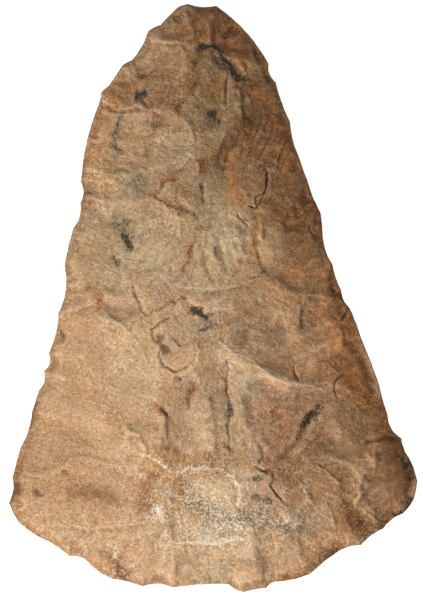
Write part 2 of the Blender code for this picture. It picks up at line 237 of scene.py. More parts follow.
# Root and tip as the crests are placed, width (per cent of LENGTH), depth (per cent of
# FACE_RISE) and the way the flake ended
FACE_FLAKES = (
    # Butt
    (-16.5, 95.5, -0.5, 96.6, 6.8, 7, ROUNDED),
    (10.5, 93.5, -0.5, 96.3, 8.5, 9, ROUNDED),
    (-27.5, 86.5, -3.2, 88.1, 11.2, 10, ROUNDED),
    (0.5, 93.0, 0.5, 71.0, 8.0, 5, FEATHERED),
    # Left side, down to the bit
    (-32.0, 76.9, -4.4, 76.9, 11.2, 12, ROUNDED),
    (-33.5, 69.5, -23.0, 69.0, 4.8, 5, ROUNDED),
    (-36.0, 59.0, -6.0, 59.6, 16.0, 10, ROUNDED),
    (-38.0, 49.7, -16.0, 48.7, 5.8, 5, ROUNDED),
    (-39.5, 46.0, -26.5, 46.6, 5.1, 4, ROUNDED),
    (-45.0, 31.5, -12.0, 36.6, 27.0, 12, ROUNDED),
    (-50.0, 15.7, -15.5, 17.0, 17.0, 9, FEATHERED),
    # Right side, down to the bit
    (15.5, 87.4, 2.5, 86.0, 8.5, 5, FEATHERED),
    (19.0, 80.0, 6.0, 81.5, 10.0, 7, FEATHERED),
    (23.0, 71.5, 12.3, 71.0, 11.0, 7, ROUNDED),
    (27.0, 63.0, 8.0, 62.2, 13.0, 8, FEATHERED),
    (31.0, 54.0, 10.0, 56.6, 11.4, 9, FEATHERED),
    (-1.7, 49.7, -1.7, 66.0, 14.6, 5, FEATHERED),
    (34.0, 41.0, -1.7, 48.7, 15.6, 12, ROUNDED),
    (38.0, 41.2, 22.0, 42.9, 12.6, 14, ROUNDED),
    (44.0, 28.4, 4.7, 31.0, 15.6, 10, ROUNDED),
    (50.8, 17.4, 37.2, 17.4, 17.0, 13, HINGED),
    # Bit, and the long ones that run up the middle from it
    (41.5, 9.8, 19.0, 20.8, 12.0, 8, ROUNDED),
    (-4.0, 15.5, -4.0, 44.5, 10.6, 8, FEATHERED),
    (-2.0, 2.0, -2.0, 21.5, 13.0, 11, ROUNDED),
    (-41.0, 8.0, -32.5, 17.4, 9.5, 7, FEATHERED),
    (-26.5, 2.0, -23.5, 13.0, 10.5, 7, FEATHERED),
    (-14.0, 0.4, -13.0, 9.8, 8.5, 6, FEATHERED),
    (7.5, -1.0, 6.5, 9.0, 6.8, 6, FEATHERED),
    (17.5, 0.8, 14.5, 15.6, 10.2, 7, ROUNDED),
    (27.5, 4.5, 21.5, 13.0, 8.5, 6, FEATHERED),
    (37.0, 7.5, 29.0, 14.8, 7.8, 6, FEATHERED),
)
BELLY_SIDE_FLAKES = 7
BELLY_BIT_FLAKES = 5
BELLY_FLAKE_REACH = 0.62     # of the way from the edge to the middle line
BELLY_FLAKE_DEPTH = 0.10     # of BELLY_DROP
BELLY_FLAKE_WIDTH = 0.155    # of LENGTH


class Flake(NamedTuple):
    """One scar: where it was struck, where it ran out, its width and depth, and its far end."""
    root: tuple
    tip: tuple
    width: float
    depth: float
    end: float


def drifted(points):
    """Points pushed about by slow waves, so that no scar keeps a drawn outline."""
    x, y = 2 * math.pi / DRIFT_WAVE * points.T
    across = np.sin(0.9 * y + 0.7) + 0.6 * np.sin(1.7 * x - 1.2 * y + 1.1)
    along = np.sin(1.1 * x + 2.1) + 0.6 * np.sin(1.9 * y + 0.8 * x)
    return points + DRIFT * np.stack((across, along), axis=1)


def within_flake(points, flake):
    """How far each point lies along a scar's closing end, and how far aside from its middle line.
    Both are shares, with one on the scar's rim."""
    root = np.array(flake.root)
    run = np.array(flake.tip) - root
    reach = np.hypot(*run)
    along = (points - root) @ run / reach**2
    aside = (points - root) @ np.array((-run[1], run[0])) / reach / (flake.width / 2)
    return np.clip((along - 1 + TIP_PART) / TIP_PART, 0, None), aside


def flake_depth(points, flake):
    """Depth of one scar at each point: most along its middle, nothing past its rim."""
    past, aside = within_flake(points, flake)
    return flake.depth * np.clip(1 - np.hypot(past, aside)**flake.end, 0, None)


def scarred(height, points, flakes):
    """A face's height once its flakes are off. The edge itself stays where it is."""
    strayed = drifted(points)
    depth = np.max([flake_depth(strayed, flake) for flake in flakes], axis=0)
    most = DEEPEST_CUT * height + 1e-9
    return height - most * np.tanh(depth / most)


def face_flakes():
    """The large scars of the upper face."""
    flakes = []
    for across, along, tip_across, tip_along, width, depth, end in FACE_FLAKES:
        root = place(across, along)
        tip = place(tip_across, tip_along)
        flakes.append(Flake(root, tip, width / 100 * LENGTH, depth / 100 * FACE_RISE, end))
    return flakes


def belly_flakes():
    """The belly's scars: struck in from both sides in turn, and up from the bit."""
    chance = random.Random(CHANCE_SEED)
    depth = BELLY_FLAKE_DEPTH * BELLY_DROP
    flakes = []
    for side in (-1, 1):
        edge = solid_rim[solid_rim[:, 0] * side > 0]
        for row in range(BELLY_SIDE_FLAKES):
            share = (row + chance.uniform(0.25, 0.75)) / BELLY_SIDE_FLAKES
            level = (0.14 + 0.80 * share - 0.5) * LENGTH
            root = edge[np.argmin(np.abs(edge[:, 1] - level))]
            reach = BELLY_FLAKE_REACH * chance.uniform(0.75, 1.15)
            tip = root * (1 - reach, 1) + (0, chance.uniform(-0.04, 0.05) * LENGTH)
            width = chance.uniform(0.84, 1.22) * BELLY_FLAKE_WIDTH * LENGTH
            flakes.append(Flake(root, tip, width, depth * chance.uniform(0.7, 1.4), ROUNDED))
    bit = solid_rim[solid_rim[:, 1] < 0]
    for row in range(BELLY_BIT_FLAKES):
        across = 0.76 * ((row + 0.5) / BELLY_BIT_FLAKES - 0.5) * WIDTH
        root = bit[np.argmin(np.abs(bit[:, 0] - across))]
        tip = root * (0.85, 1) + (0, chance.uniform(0.16, 0.24) * LENGTH)
        width = chance.uniform(0.78, 1.1) * BELLY_FLAKE_WIDTH * LENGTH
        flakes.append(Flake(root, tip, width, depth * chance.uniform(0.8, 1.3), FEATHERED))
    return flakes


print(f"{len(FACE_FLAKES)} scars on the upper face, {len(belly_flakes())} on the belly")

# %% [markdown]
# ## Arrises, steps and cracks
# Seen from a step away, the stone is drawn by thin lines: the arris where two scars meet, the
# small step where a flake broke off short, and cracks that run with the grain. They are modelled,
# so the light from the lower left finds them, and a colour laid along many of them adds to that:
# pale along a crest or a lit step is mostly a painted highlight, and umber along a step or groove
# is partly painted shade and partly the crack's own dark. Each is a line of a few places
# read off the photograph, with one of four sections. A "step" falls away on the right-hand side
# of the line's direction and slowly recovers. A "crest" stands up along the line, and drops
# steeply on its right and gently on its left. A "ridge" drops evenly on both sides, and a
# "groove" is cut in. The points are pushed about a little first, so that no line looks ruled.

# %% Lines of the upper face
PHOTO_LEFT, PHOTO_RIGHT = 9, 417         # the blade's extent in the photograph, in its pixels
PHOTO_TOP, PHOTO_BOTTOM = 4, 592.3
PIXEL = WIDTH / (PHOTO_RIGHT - PHOTO_LEFT)

# Section, height, width of the line, width over which it fades (all mm), the colour laid along it
# with its strength (pale along a crest or a lit step is mostly a painted highlight, umber along a
# step or groove partly painted shade and partly the crack's own dark), and places in the photograph
LINES = {
    # Butt
    "butt ridge": ("crest", 1.1, 0.9, 4.0, "rust", 0.4, ((210, 46), (210, 36), (211, 24), (216, 12))),
    "butt lens, foot": ("step", 0.42, 0.8, 6.0, "pale", 0.6, ((146, 39), (158, 42), (170, 43), (182, 42))),
    "butt lens, right": ("crest", 0.35, 0.8, 3.0, "pale", 0.6, ((186, 42), (194, 36), (194, 29), (188, 23))),
    "butt spall": ("groove", 0.35, 1.2, 3.0, "umber", 0.3, ((182, 42), (187, 50), (193, 60), (196, 68))),
    "butt right, fold": ("step", 0.28, 1.2, 5.0, "umber", 0.3, ((222, 36), (232, 46), (244, 50), (254, 50))),
    "butt right, edge": ("groove", 0.5, 1.0, 2.0, "umber", 0.5, ((254, 46), (256, 56), (260, 64))),
    "butt right, edge low": ("groove", 0.45, 1.0, 2.0, "umber", 0.45, ((263, 68), (266, 78), (270, 84))),
    # Shoulder and neck
    "shoulder seam": ("groove", 0.35, 1.4, 3.0, "umber", 0.2, (
        (201, 78), (196, 86), (188, 96), (180, 106), (174, 112))),
    "shoulder foot": ("step", 0.65, 0.9, 8.0, "pale", 0.75, (
        (100, 95), (108, 104), (117, 110), (128, 109), (136, 105), (146, 109), (158, 113), (171, 112))),
    "shoulder branch": ("groove", 0.35, 0.7, 2.0, "umber", 0.55, ((140, 98), (145, 104), (149, 110))),
    "facet crest": ("crest", 0.45, 2.0, 5.0, "pale", 1.0, (
        (189, 164), (192, 154), (194, 144), (191, 133), (186, 124), (178, 117), (170, 112))),
    "facet valley": ("groove", 0.5, 2.4, 5.0, "umber", 0.12, (
        (162, 119), (156, 131), (150, 144), (146, 160))),
    "neck splinter": ("ridge", 0.6, 0.7, 1.0, "pale", 1.0, ((192, 152), (186, 161), (179, 169))),
    "neck splinter, right": ("crest", 0.4, 0.7, 2.0, "pale", 0.9, ((198, 178), (199, 170), (197, 160))),
    "dark vein, edge": ("step", 0.6, 0.9, 5.0, "umber", 0.4, (
        (250, 86), (238, 80), (230, 70), (222, 60), (218, 52), (209, 47), (200, 47))),
    "vein plate": ("crest", 0.55, 0.8, 4.0, "pale", 0.7, ((247, 78), (243, 68), (238, 60), (228, 56))),
    "neck crack, left": ("groove", 0.5, 0.38, 1.0, "umber", 0.8, (
        (228, 72), (227, 84), (226, 95), (226, 107))),
    "neck plate": ("crest", 0.6, 0.6, 4.5, "pale", 0.55, ((245, 121), (242, 108), (239, 97), (239, 86))),
    "neck crack, right": ("groove", 0.5, 0.42, 1.0, "umber", 0.86, ((241, 104), (243, 112), (245, 121))),
    "neck plate, right": ("crest", 0.5, 0.6, 3.0, "pale", 0.55, (
        (248, 118), (252, 108), (250, 100), (244, 92))),
    "neck wall": ("step", 1.0, 2.0, 7.0, "umber", 0.22, (
        (212, 168), (216, 154), (221, 140), (228, 128), (236, 120))),
    "neck wall, low": ("groove", 0.5, 1.2, 3.0, "umber", 0.42, ((224, 172), (225, 162), (229, 152))),
    "neck, small crest": ("crest", 0.4, 0.8, 3.0, "pale", 0.45, ((215, 140), (214, 130), (219, 120))),
    "right edge scar": ("crest", 0.45, 0.8, 6.0, None, 0, ((279, 178), (278, 162), (279, 148), (286, 134))),
    "hairline": ("groove", 0.4, 0.38, 1.0, "umber", 0.9, ((282, 149), (278, 160), (278, 174))),
    # Left side
    "left step, upper": ("step", 0.4, 0.7, 5.0, "pale", 0.8, ((84, 172), (96, 171), (108, 173))),
    "left step, lower": ("step", 0.35, 0.7, 5.0, "pale", 0.7, ((99, 184), (108, 181), (119, 182))),
    "left ledge": ("step", 0.45, 0.8, 6.0, None, 0, ((112, 168), (124, 166), (134, 172))),
    "grey crack": ("groove", 0.25, 0.8, 2.0, "umber", 0.4, (
        (133, 182), (141, 190), (147, 195), (156, 198), (164, 203))),
    "left scar, head": ("crest", 0.35, 0.8, 7.0, "pale", 0.95, (
        (178, 236), (181, 222), (176, 211), (163, 204), (148, 197))),
    "left pale fold": ("crest", 0.4, 0.9, 4.0, "pale", 0.7, ((108, 222), (112, 212), (116, 203))),
    "left pale fold, low": ("step", 0.3, 0.9, 4.0, "pale", 0.6, ((122, 216), (132, 217), (142, 220))),
    "left scar, foot": ("step", 0.42, 1.6, 7.0, "umber", 0.22, (
        (126, 291), (112, 292), (104, 290), (98, 284))),
    "left hollow": ("groove", 0.3, 1.8, 3.0, "umber", 0.22, (
        (92, 284), (99, 293), (101, 302), (112, 309), (124, 311))),
    "left spur": ("step", 0.3, 0.8, 6.0, "pale", 0.55, ((58, 311), (72, 311), (86, 306), (99, 301))),
    "left arris": ("crest", 0.32, 0.8, 9.0, "pale", 0.8, (
        (148, 362), (142, 348), (133, 335), (122, 324), (110, 316), (102, 310))),
    # Middle
    "upper seam": ("groove", 0.3, 0.7, 1.0, "rust", 0.6, ((161, 190), (163, 183), (170, 179), (178, 180))),
    "splinter crack": ("groove", 0.35, 0.9, 1.0, "charcoal", 0.25, ((203, 205), (203, 193), (201, 182))),
    "rust hollow": ("groove", 0.25, 1.2, 2.0, "rust", 0.12, ((176, 205), (184, 208), (194, 214), (200, 222))),
    "right crack": ("groove", 0.6, 0.36, 1.5, "umber", 0.92, (
        (263, 165), (267, 172), (266, 182), (265, 192), (257, 197), (256, 203), (259, 209))),
    "right crack, foot": ("groove", 0.45, 0.36, 1.0, "umber", 0.85, (
        (264, 194), (260, 203), (257, 209), (247, 206))),
    "right crack, plate": ("step", 0.5, 0.8, 5.0, None, 0, (
        (258, 212), (255, 202), (262, 194), (265, 182), (263, 166))),
    "short crack": ("groove", 0.5, 0.32, 1.0, "umber", 0.92, ((236, 213), (242, 221), (249, 229))),
    "short crack, pit": ("groove", 0.6, 1.4, 2.0, "umber", 0.25, ((244, 217), (248, 222))),
    "pale upright": ("crest", 0.7, 0.7, 2.6, "pale", 0.7, ((262, 242), (262, 228), (259, 215))),
    "rib, bright": ("crest", 0.62, 2.6, 4.6, "pale", 0.4, ((246, 270), (242, 254), (237, 238), (234, 222))),
    "rib, long": ("groove", 0.5, 1.2, 1.0, "umber", 0.22, ((217, 230), (219, 245), (223, 260), (229, 274))),
    "rib, low": ("groove", 0.46, 1.2, 1.0, "umber", 0.2, ((203, 248), (205, 262), (208, 273), (213, 284))),
    "rib, lens": ("crest", 0.4, 1.0, 2.0, "pale", 0.5, ((219, 264), (214, 254), (212, 244))),
    "rib, far right": ("groove", 0.3, 1.0, 1.0, None, 0, ((255, 248), (260, 262), (268, 276))),
    "pale seam": ("step", 0.38, 1.0, 6.0, "pale", 0.75, (
        (176, 286), (190, 288), (204, 289), (220, 288), (234, 286), (252, 280), (264, 271))),
    "dark seam": ("groove", 0.32, 0.7, 1.0, "umber", 0.65, ((251, 279), (258, 276), (266, 269))),
    "orange ridge": ("crest", 0.42, 1.8, 6.0, None, 0, (
        (262, 270), (256, 262), (252, 250), (251, 236), (250, 230))),
    "middle crack, black": ("groove", 0.42, 0.6, 2.0, "charcoal", 0.72, ((133, 287), (136, 296), (140, 304))),
    "middle crack, foot": ("groove", 0.38, 0.5, 2.0, "umber", 0.5, ((139, 303), (143, 311), (148, 316))),
    "red seam, upper": ("crest", 0.38, 0.7, 6.0, "rust", 0.52, (
        (186, 297), (171, 303), (160, 309), (147, 315))),
    "red seam, lower": ("groove", 0.3, 0.6, 1.0, "rust", 0.55, ((168, 318), (160, 323), (152, 330))),
    "lens scar": ("groove", 0.42, 0.6, 2.0, "umber", 0.7, (
        (152, 328), (154, 339), (162, 347), (159, 356), (164, 365), (174, 371), (184, 369), (191, 363))),
    "lens, inner": ("crest", 0.45, 0.8, 3.0, "pale", 0.7, ((180, 350), (174, 341), (166, 333))),
    "lens, foot": ("step", 0.4, 0.8, 6.0, "pale", 0.7, ((178, 374), (186, 374), (192, 369))),
    "centre ledge": ("crest", 0.4, 0.8, 5.0, "pale", 0.4, ((196, 362), (200, 350), (196, 340))),
    "long ridge": ("crest", 0.26, 0.8, 7.0, "pale", 1.0, (
        (334, 390), (318, 388), (306, 385), (294, 382), (280, 375), (268, 370), (248, 363),
        (231, 351), (219, 340), (208, 333))),
    "long ridge, far side": ("step", 0.06, 1.2, 20.0, None, 0, (
        (300, 384), (280, 375), (268, 370), (248, 363), (231, 351), (218, 338), (214, 322))),
    # Right middle
    "right brow": ("crest", 0.17, 2.0, 6.0, None, 0, (
        (334, 308), (316, 303), (301, 298), (285, 289), (274, 280), (264, 271))),
    "right dark facet": ("step", 0.65, 1.2, 7.0, "umber", 0.16, (
        (284, 236), (281, 222), (286, 208), (298, 202))),
    "right edge facet": ("step", 0.6, 1.2, 6.0, "umber", 0.16, (
        (316, 246), (311, 230), (313, 214), (318, 204))),
    "middle dark hollow": ("groove", 0.25, 5.0, 5.0, None, 0, ((246, 322), (252, 340), (268, 352))),
    "right fold": ("step", 0.6, 0.9, 5.0, "umber", 0.5, ((300, 330), (299, 318), (302, 305))),
    "right bright plane": ("crest", 0.42, 1.2, 8.0, "pale", 0.12, (
        (342, 352), (341, 336), (334, 322), (324, 312))),
    "right fine arris": ("step", 0.35, 0.7, 5.0, "pale", 0.5, (
        (302, 357), (314, 351), (328, 344), (338, 336))),
    "right nick": ("groove", 0.55, 0.46, 1.5, "umber", 0.88, (
        (342, 375), (335, 381), (333, 389), (337, 398))),
    "ridge nick": ("groove", 0.5, 0.44, 1.0, "umber", 0.85, ((293, 366), (295, 374), (299, 381))),
    "edge nick": ("groove", 0.5, 0.55, 1.5, "umber", 0.76, ((349, 305), (346, 312), (342, 320))),
    "edge spot": ("groove", 0.45, 1.4, 1.5, "umber", 0.25, ((347, 338), (346, 347))),
    "right edge, step": ("step", 0.55, 1.0, 6.0, "umber", 0.3, (
        (372, 398), (366, 384), (360, 366), (352, 352))),
    "russet fold": ("crest", 0.45, 1.0, 6.0, None, 0, ((352, 398), (348, 384), (340, 374), (326, 366))),
    # Lower middle
    "valley": ("groove", 0.62, 3.0, 3.0, "umber", 0.12, (
        (227, 350), (227, 374), (227, 400), (228, 430), (230, 462))),
    "valley crack": ("groove", 0.42, 0.46, 2.0, "umber", 0.66, (
        (227, 360), (227, 378), (227, 392), (229, 404), (229, 414), (227, 426), (229, 440), (230, 456))),
    "valley, left crest": ("crest", 0.6, 2.6, 6.0, None, 0, (
        (212, 458), (212, 434), (209, 412), (207, 388))),
    "rust drip, hollow": ("groove", 0.4, 1.6, 2.0, None, 0, ((195, 376), (193, 388), (189, 402))),
    "right of valley, crest": ("crest", 0.28, 2.4, 4.0, "pale", 0.2, (
        (262, 456), (252, 442), (245, 424), (241, 404), (240, 384))),
    "inner step": ("crest", 0.85, 1.4, 5.5, "umber", 0.3, ((168, 446), (166, 432), (166, 418), (159, 405))),
    "inner step, wall": ("groove", 0.38, 0.9, 1.0, "umber", 0.56, (
        (168, 442), (167, 430), (167, 416), (161, 405))),
    "inner foot": ("groove", 0.6, 2.0, 2.0, "umber", 0.35, ((160, 446), (172, 450))),
    "left plane": ("crest", 0.45, 1.2, 9.0, "pale", 0.45, ((146, 458), (145, 446), (138, 434), (124, 428))),
    "left bright step": ("step", 0.55, 0.7, 6.0, "chalk", 0.48, (
        (141, 453), (150, 456), (160, 461), (170, 470))),
    "right dent": ("groove", 0.7, 1.6, 3.0, "umber", 0.35, (
        (321, 401), (313, 411), (306, 424), (298, 438), (287, 450), (274, 463))),
    "reddish hollow": ("groove", 0.4, 4.0, 4.0, None, 0, ((272, 406), (280, 420))),
    "low crack": ("groove", 0.5, 0.42, 1.0, "umber", 0.92, ((261, 446), (262, 455), (258, 465))),
    "dent, right crest": ("crest", 0.5, 1.0, 6.0, None, 0, ((290, 458), (304, 446), (318, 430), (328, 412))),
    "corner seam": ("groove", 0.38, 1.2, 2.0, "umber", 0.42, (
        (362, 443), (374, 441), (386, 438), (401, 436))),
    "corner ridge": ("crest", 1.0, 1.4, 7.0, "pale", 0.4, (
        (352, 506), (364, 490), (371, 478), (374, 462), (372, 446))),
    # Beside the right rim
    "right rim mark": ("groove", 0.35, 0.45, 1.0, "umber", 0.62, ((309, 226), (312, 234), (315, 241))),
    # Bit
    "bit crack, top": ("groove", 0.55, 0.38, 1.0, "umber", 0.92, (
        (254, 466), (263, 469), (272, 470), (274, 478))),
    "bit crack, foot": ("groove", 0.58, 0.38, 1.0, "umber", 0.92, (
        (274, 477), (270, 484), (277, 494), (286, 505))),
    "bit plate": ("crest", 0.38, 0.7, 5.0, "pale", 0.6, (
        (282, 503), (275, 494), (268, 485), (271, 476), (262, 471), (246, 471))),
    "plate hollow": ("groove", 0.45, 1.6, 2.0, "umber", 0.3, ((246, 478), (256, 477))),
    "plate hollow, low": ("groove", 0.55, 1.2, 2.0, "umber", 0.4, ((250, 495), (258, 496), (266, 500))),
    "crust, left": ("step", 0.38, 0.8, 4.0, "chalk", 0.55, ((169, 502), (171, 490), (174, 478), (180, 470))),
    "crust, top": ("ridge", 0.4, 0.8, 1.0, "chalk", 0.62, (
        (175, 472), (188, 468), (205, 466), (222, 469), (233, 476))),
    "crust, right": ("ridge", 0.4, 0.8, 1.0, "chalk", 0.8, (
        (232, 474), (239, 484), (240, 499), (237, 508))),
    "crust, foot": ("step", 0.6, 0.8, 6.0, "chalk", 0.98, (
        (176, 543), (190, 541), (203, 543), (214, 543), (228, 540), (246, 537))),
    "bit arc": ("ridge", 0.35, 0.8, 2.0, "pale", 0.85, (
        (298, 508), (295, 522), (289, 533), (276, 541), (259, 547))),
    "bit pale streak": ("crest", 0.45, 0.8, 3.0, "pale", 0.85, ((312, 504), (307, 492), (300, 480))),
    "bit fan, crest": ("crest", 0.45, 0.8, 5.0, "pale", 0.45, (
        (352, 500), (340, 484), (326, 470), (312, 462))),
    "bit bright corner": ("crest", 0.6, 1.0, 6.0, "pale", 0.6, ((334, 528), (332, 514), (324, 500))),
    "bit dark facet": ("step", 0.75, 1.2, 8.0, "umber", 0.14, (
        (354, 540), (350, 528), (344, 514), (352, 502))),
    "bit corner facet": ("step", 0.65, 1.0, 6.0, "umber", 0.14, ((382, 530), (374, 520), (367, 508))),
    "bit, middle facet": ("step", 0.6, 1.2, 7.0, "umber", 0.1, (
        (300, 556), (297, 540), (298, 524), (306, 512))),
    "bit pits": ("groove", 0.5, 1.6, 2.0, "umber", 0.3, ((261, 528), (268, 522), (274, 528))),
    "bit scar, left side": ("step", 0.5, 1.6, 8.0, "umber", 0.12, (
        (175, 584), (174, 562), (171, 541), (168, 522))),
    "bit scar, right side": ("step", 0.9, 1.0, 7.0, "umber", 0.3, (
        (264, 588), (262, 574), (260, 560), (257, 546))),
    "bit left facet": ("step", 0.25, 1.4, 8.0, None, 0, ((118, 578), (114, 562), (120, 548))),
    "bit left arris": ("step", 0.35, 0.9, 8.0, "pale", 0.3, ((60, 524), (92, 528), (124, 524), (152, 520))),
}
RUFFLE = 0.60 * MM           # how far a line strays from its drawn course
RUFFLE_WAVE = 4.0 * MM
UNEVEN_WAVE = 6.0 * MM       # from one strong stretch of a line to the next
END_PART = 0.18              # part of a line at each end along which it dies away
LINE_REACH = 3.5             # how far from a line its relief is worked out, in its own widths
RIM_CALM = 2.2 * MM          # how far in from the edge the fine relief reaches full strength


def spot(column, row):
    """The place on the blade that shows at a pixel of the photograph."""
    x = ((column - PHOTO_LEFT) / (PHOTO_RIGHT - PHOTO_LEFT) - 0.5) * WIDTH
    y = ((PHOTO_BOTTOM - row) / (PHOTO_BOTTOM - PHOTO_TOP) - 0.5) * LENGTH
    return np.array((x, y))


def route(places):
    """A row of places in the photograph, as the corners of a line on the blade."""
    return np.array([spot(*pixel) for pixel in places])


def ruffled(points, stray=RUFFLE, wave=RUFFLE_WAVE, layers=(11.0, 23.0)):
    """Points pushed about by a short, chance wave."""
    return points + stray * np.stack([rough(points, wave, layer) for layer in layers], axis=1)


def eased(share):
    """A share from 0 to 1 that sets off and arrives gently."""
    return share * share * (3 - 2 * share)


def close_by(points, corners, reach):
    """Which points lie in the box round a line, widened by a reach."""
    return np.all((points > corners.min(axis=0) - reach) & (points < corners.max(axis=0) + reach), axis=1)


def beside(points, corners):
    """For each point: how far it lies from an open line, plus on the line's right-hand side, and
    how far along the line the nearest place is, as a share of the line."""
    runs = corners[1:] - corners[:-1]
    spans = np.hypot(*runs.T)
    nearest = np.full(len(points), np.inf)
    side = np.ones(len(points))
    share = np.zeros(len(points))
    walked = 0.0
    for start, run, span in zip(corners[:-1], runs, spans):
        part = np.clip((points - start) @ run / span**2, 0, 1)
        offset = points - start - part[:, None] * run
        gap = np.hypot(*offset.T)
        closer = gap < nearest
        nearest = np.where(closer, gap, nearest)
        side = np.where(closer, np.sign(offset @ np.array((run[1], -run[0])) + 1e-12), side)
        share = np.where(closer, (walked + part * span) / spans.sum(), share)
        walked += span
    return nearest * side, share


def line_relief(points, strayed):
    """The summed height of all the lines at each point."""
    relief = np.zeros(len(points))
    uneven = np.clip(1 + 1.1 * rough(strayed, UNEVEN_WAVE, 31.0), 0.25, 1.6)
    for section, height, width, fade, _, _, places in LINES.values():
        corners = route(places)
        near = close_by(strayed, corners, LINE_REACH * max(width, fade) * MM)
        if not near.any():
            continue
        gap, share = beside(strayed[near], corners)
        ends = np.clip(np.minimum(share, 1 - share) / END_PART, 0, 1)
        strength = height * MM * eased(ends) * uneven[near]
        beyond = eased(np.clip(gap / (width * MM), 0, 1))
        if section == "step":
            shape = -beyond * np.exp(-np.clip(gap, 0, None) / (fade * MM))
        elif section == "crest":
            shape = (1 - beyond) * np.exp(np.clip(gap, None, 0) / (fade * MM))
        elif section == "ridge":
            shape = np.exp(-np.abs(gap) / (width * MM))
        else:
            shape = -np.exp(-(gap / (width * MM))**2)
        relief[near] += strength * shape
    return relief


print(f"{len(LINES)} lines of relief on the upper face")

# %% [markdown]
# ## Marks of the blow
# Inside every scar the stone keeps a record of its flake: fine ribs that run away from the blow,
# and faint waves round it. So each point of a face is given to the scar that cut deepest there,
# and gets three numbers: how far across that scar's rays it lies, how far along them, and how
# clearly the place is that scar's. The relief below is stretched along the rays and fades where
# two scars meet. Later the finish uses the same numbers, so colour and shape run the same way.

# %% Rays and ribs
BLOW_BACK = 0.5              # how far behind a scar its rays meet, in the scar's own lengths
RAY_MIDDLE = 0.6             # where along a scar its ribs have their true gap
CLEAR_DEPTH = 0.06 * MM      # where a scar is this much deeper than the next one, its marks are full
RIB_GAP, RIB_LENGTH, RIB_HEIGHT = 3.2 * MM, 8.0 * MM, 0.11 * MM
WAVE_GAP, WAVE_HEIGHT = 6.5 * MM, 0.05 * MM
DISH_LEAST, DISH_MOST = 2.2 * MM, 11 * MM       # half lengths of the small chance scars
DISH_DEPTH = 0.06                               # as a share of the half length
DISH_STRAY, DISH_WAVE = 1.3 * MM, 5 * MM        # how far its rim strays, and how quickly
PLATE_WAVE, PLATE_STEPS, PLATE_HEIGHT = 15 * MM, 4.0, 0.075 * MM
PLATE_FLAT, PLATE_RISE = 0.38, 0.24             # parts of a step before its rise, and in it


def scar_rays(points, flakes):
    """How far across and along the rays of its own scar each point lies, the scar's number, and
    how clearly the point is that scar's: zero on the arris to the next one."""
    strayed = drifted(points)
    scores = []
    for flake in flakes:
        past, aside = within_flake(strayed, flake)
        scores.append(flake.depth * (1 - np.minimum(past**2 + aside**2, 4)))
    own = np.argmax(scores, axis=0)
    best, second = -np.sort(-np.array(scores), axis=0)[:2]
    clear = np.clip((best - second) / CLEAR_DEPTH, 0, 1)
    roots = np.array([flake.root for flake in flakes])[own]
    runs = np.array([np.array(flake.tip) - flake.root for flake in flakes])[own]
    reaches = np.hypot(*runs.T)
    away = strayed - roots + BLOW_BACK * runs
    angle = np.arctan2(runs[:, 0] * away[:, 1] - runs[:, 1] * away[:, 0], np.sum(runs * away, axis=1))
    return angle * (RAY_MIDDLE + BLOW_BACK) * reaches, np.hypot(*away.T), own, clear


def rib_relief(rays):
    """Ribs and waves of the blow."""
    across, along, own, clear = rays
    places = np.stack((across / RIB_GAP, along / RIB_LENGTH, 5.3 * own), axis=1)
    ribs = np.array([noise.fractal(point, 0.7, 2.0, 3) for point in places])
    bend = np.array([noise.noise((x / 4, 2 * y, z)) for x, y, z in places])
    waves = np.sin(2 * math.pi * along / WAVE_GAP + 5 * bend + own)
    relief = RIB_HEIGHT * (0.5 - np.abs(ribs) * 1.5) + WAVE_HEIGHT * waves * np.clip(0.5 + 1.5 * bend, 0, 1)
    return relief * clear


def chance_dishes(count, seed):
    """Small scars at chance places, each struck from the side of the nearest edge: its middle,
    direction, half length, half width and depth."""
    chance = random.Random(seed)
    dishes = []
    while len(dishes) < count:
        middle = np.array((chance.uniform(-0.5, 0.5) * WIDTH, chance.uniform(-0.5, 0.5) * LENGTH))
        if not lies_inside(middle[None])[0]:
            continue
        nearest = rim[np.argmin(np.hypot(*(rim - middle).T))]
        inwards = middle - nearest
        turn = math.atan2(inwards[1], inwards[0]) + chance.gauss(0, 0.6)
        size = chance.uniform(0.0, 1.0)**2
        half = (DISH_LEAST + (DISH_MOST - DISH_LEAST) * size) * np.array((1, chance.uniform(0.5, 0.85)))
        depth = DISH_DEPTH * half[0] * chance.uniform(0.5, 1.3)
        dishes.append((middle, np.array((math.cos(turn), math.sin(turn))), half, depth))
    return dishes


def dish_relief(points, dishes):
    """Depth of the deepest small scar at each point. A scar is deepest near its far end."""
    strayed = ruffled(points, DISH_STRAY, DISH_WAVE, (91.0, 92.0))
    deepest = np.zeros(len(points))
    for middle, ahead, half, depth in dishes:
        near = np.abs(strayed - middle).max(axis=1) < half[0]
        gap = strayed[near] - middle
        along = gap @ ahead / half[0]
        aside = gap @ np.array((-ahead[1], ahead[0])) / half[1]
        out = np.clip(along**2 + aside**2, 0, 1)
        deepest[near] = np.maximum(deepest[near], depth * (1 - out**1.3) * (0.7 + 0.3 * along))
    return deepest


def plate_relief(points, layer):
    """Thin plates: chance relief that rises in small, crisp steps."""
    level = PLATE_STEPS * rough(points, PLATE_WAVE, layer, 4)
    part = level - np.floor(level)
    rise = np.clip((part - PLATE_FLAT) / PLATE_RISE, 0, 1)
    return PLATE_HEIGHT * (np.floor(level) + eased(rise))


# %% [markdown]
# ## Ripples and undulation
# A blow sends waves and rays through stone. In some scars they froze as fans of fine ribs that
# spread from the place of the blow. Each fan is a ridge pattern in the angle round that place,
# and it fades out at the rim of its patch. Under it all the stone's skin is gently uneven, and
# that is chance relief in two sizes.

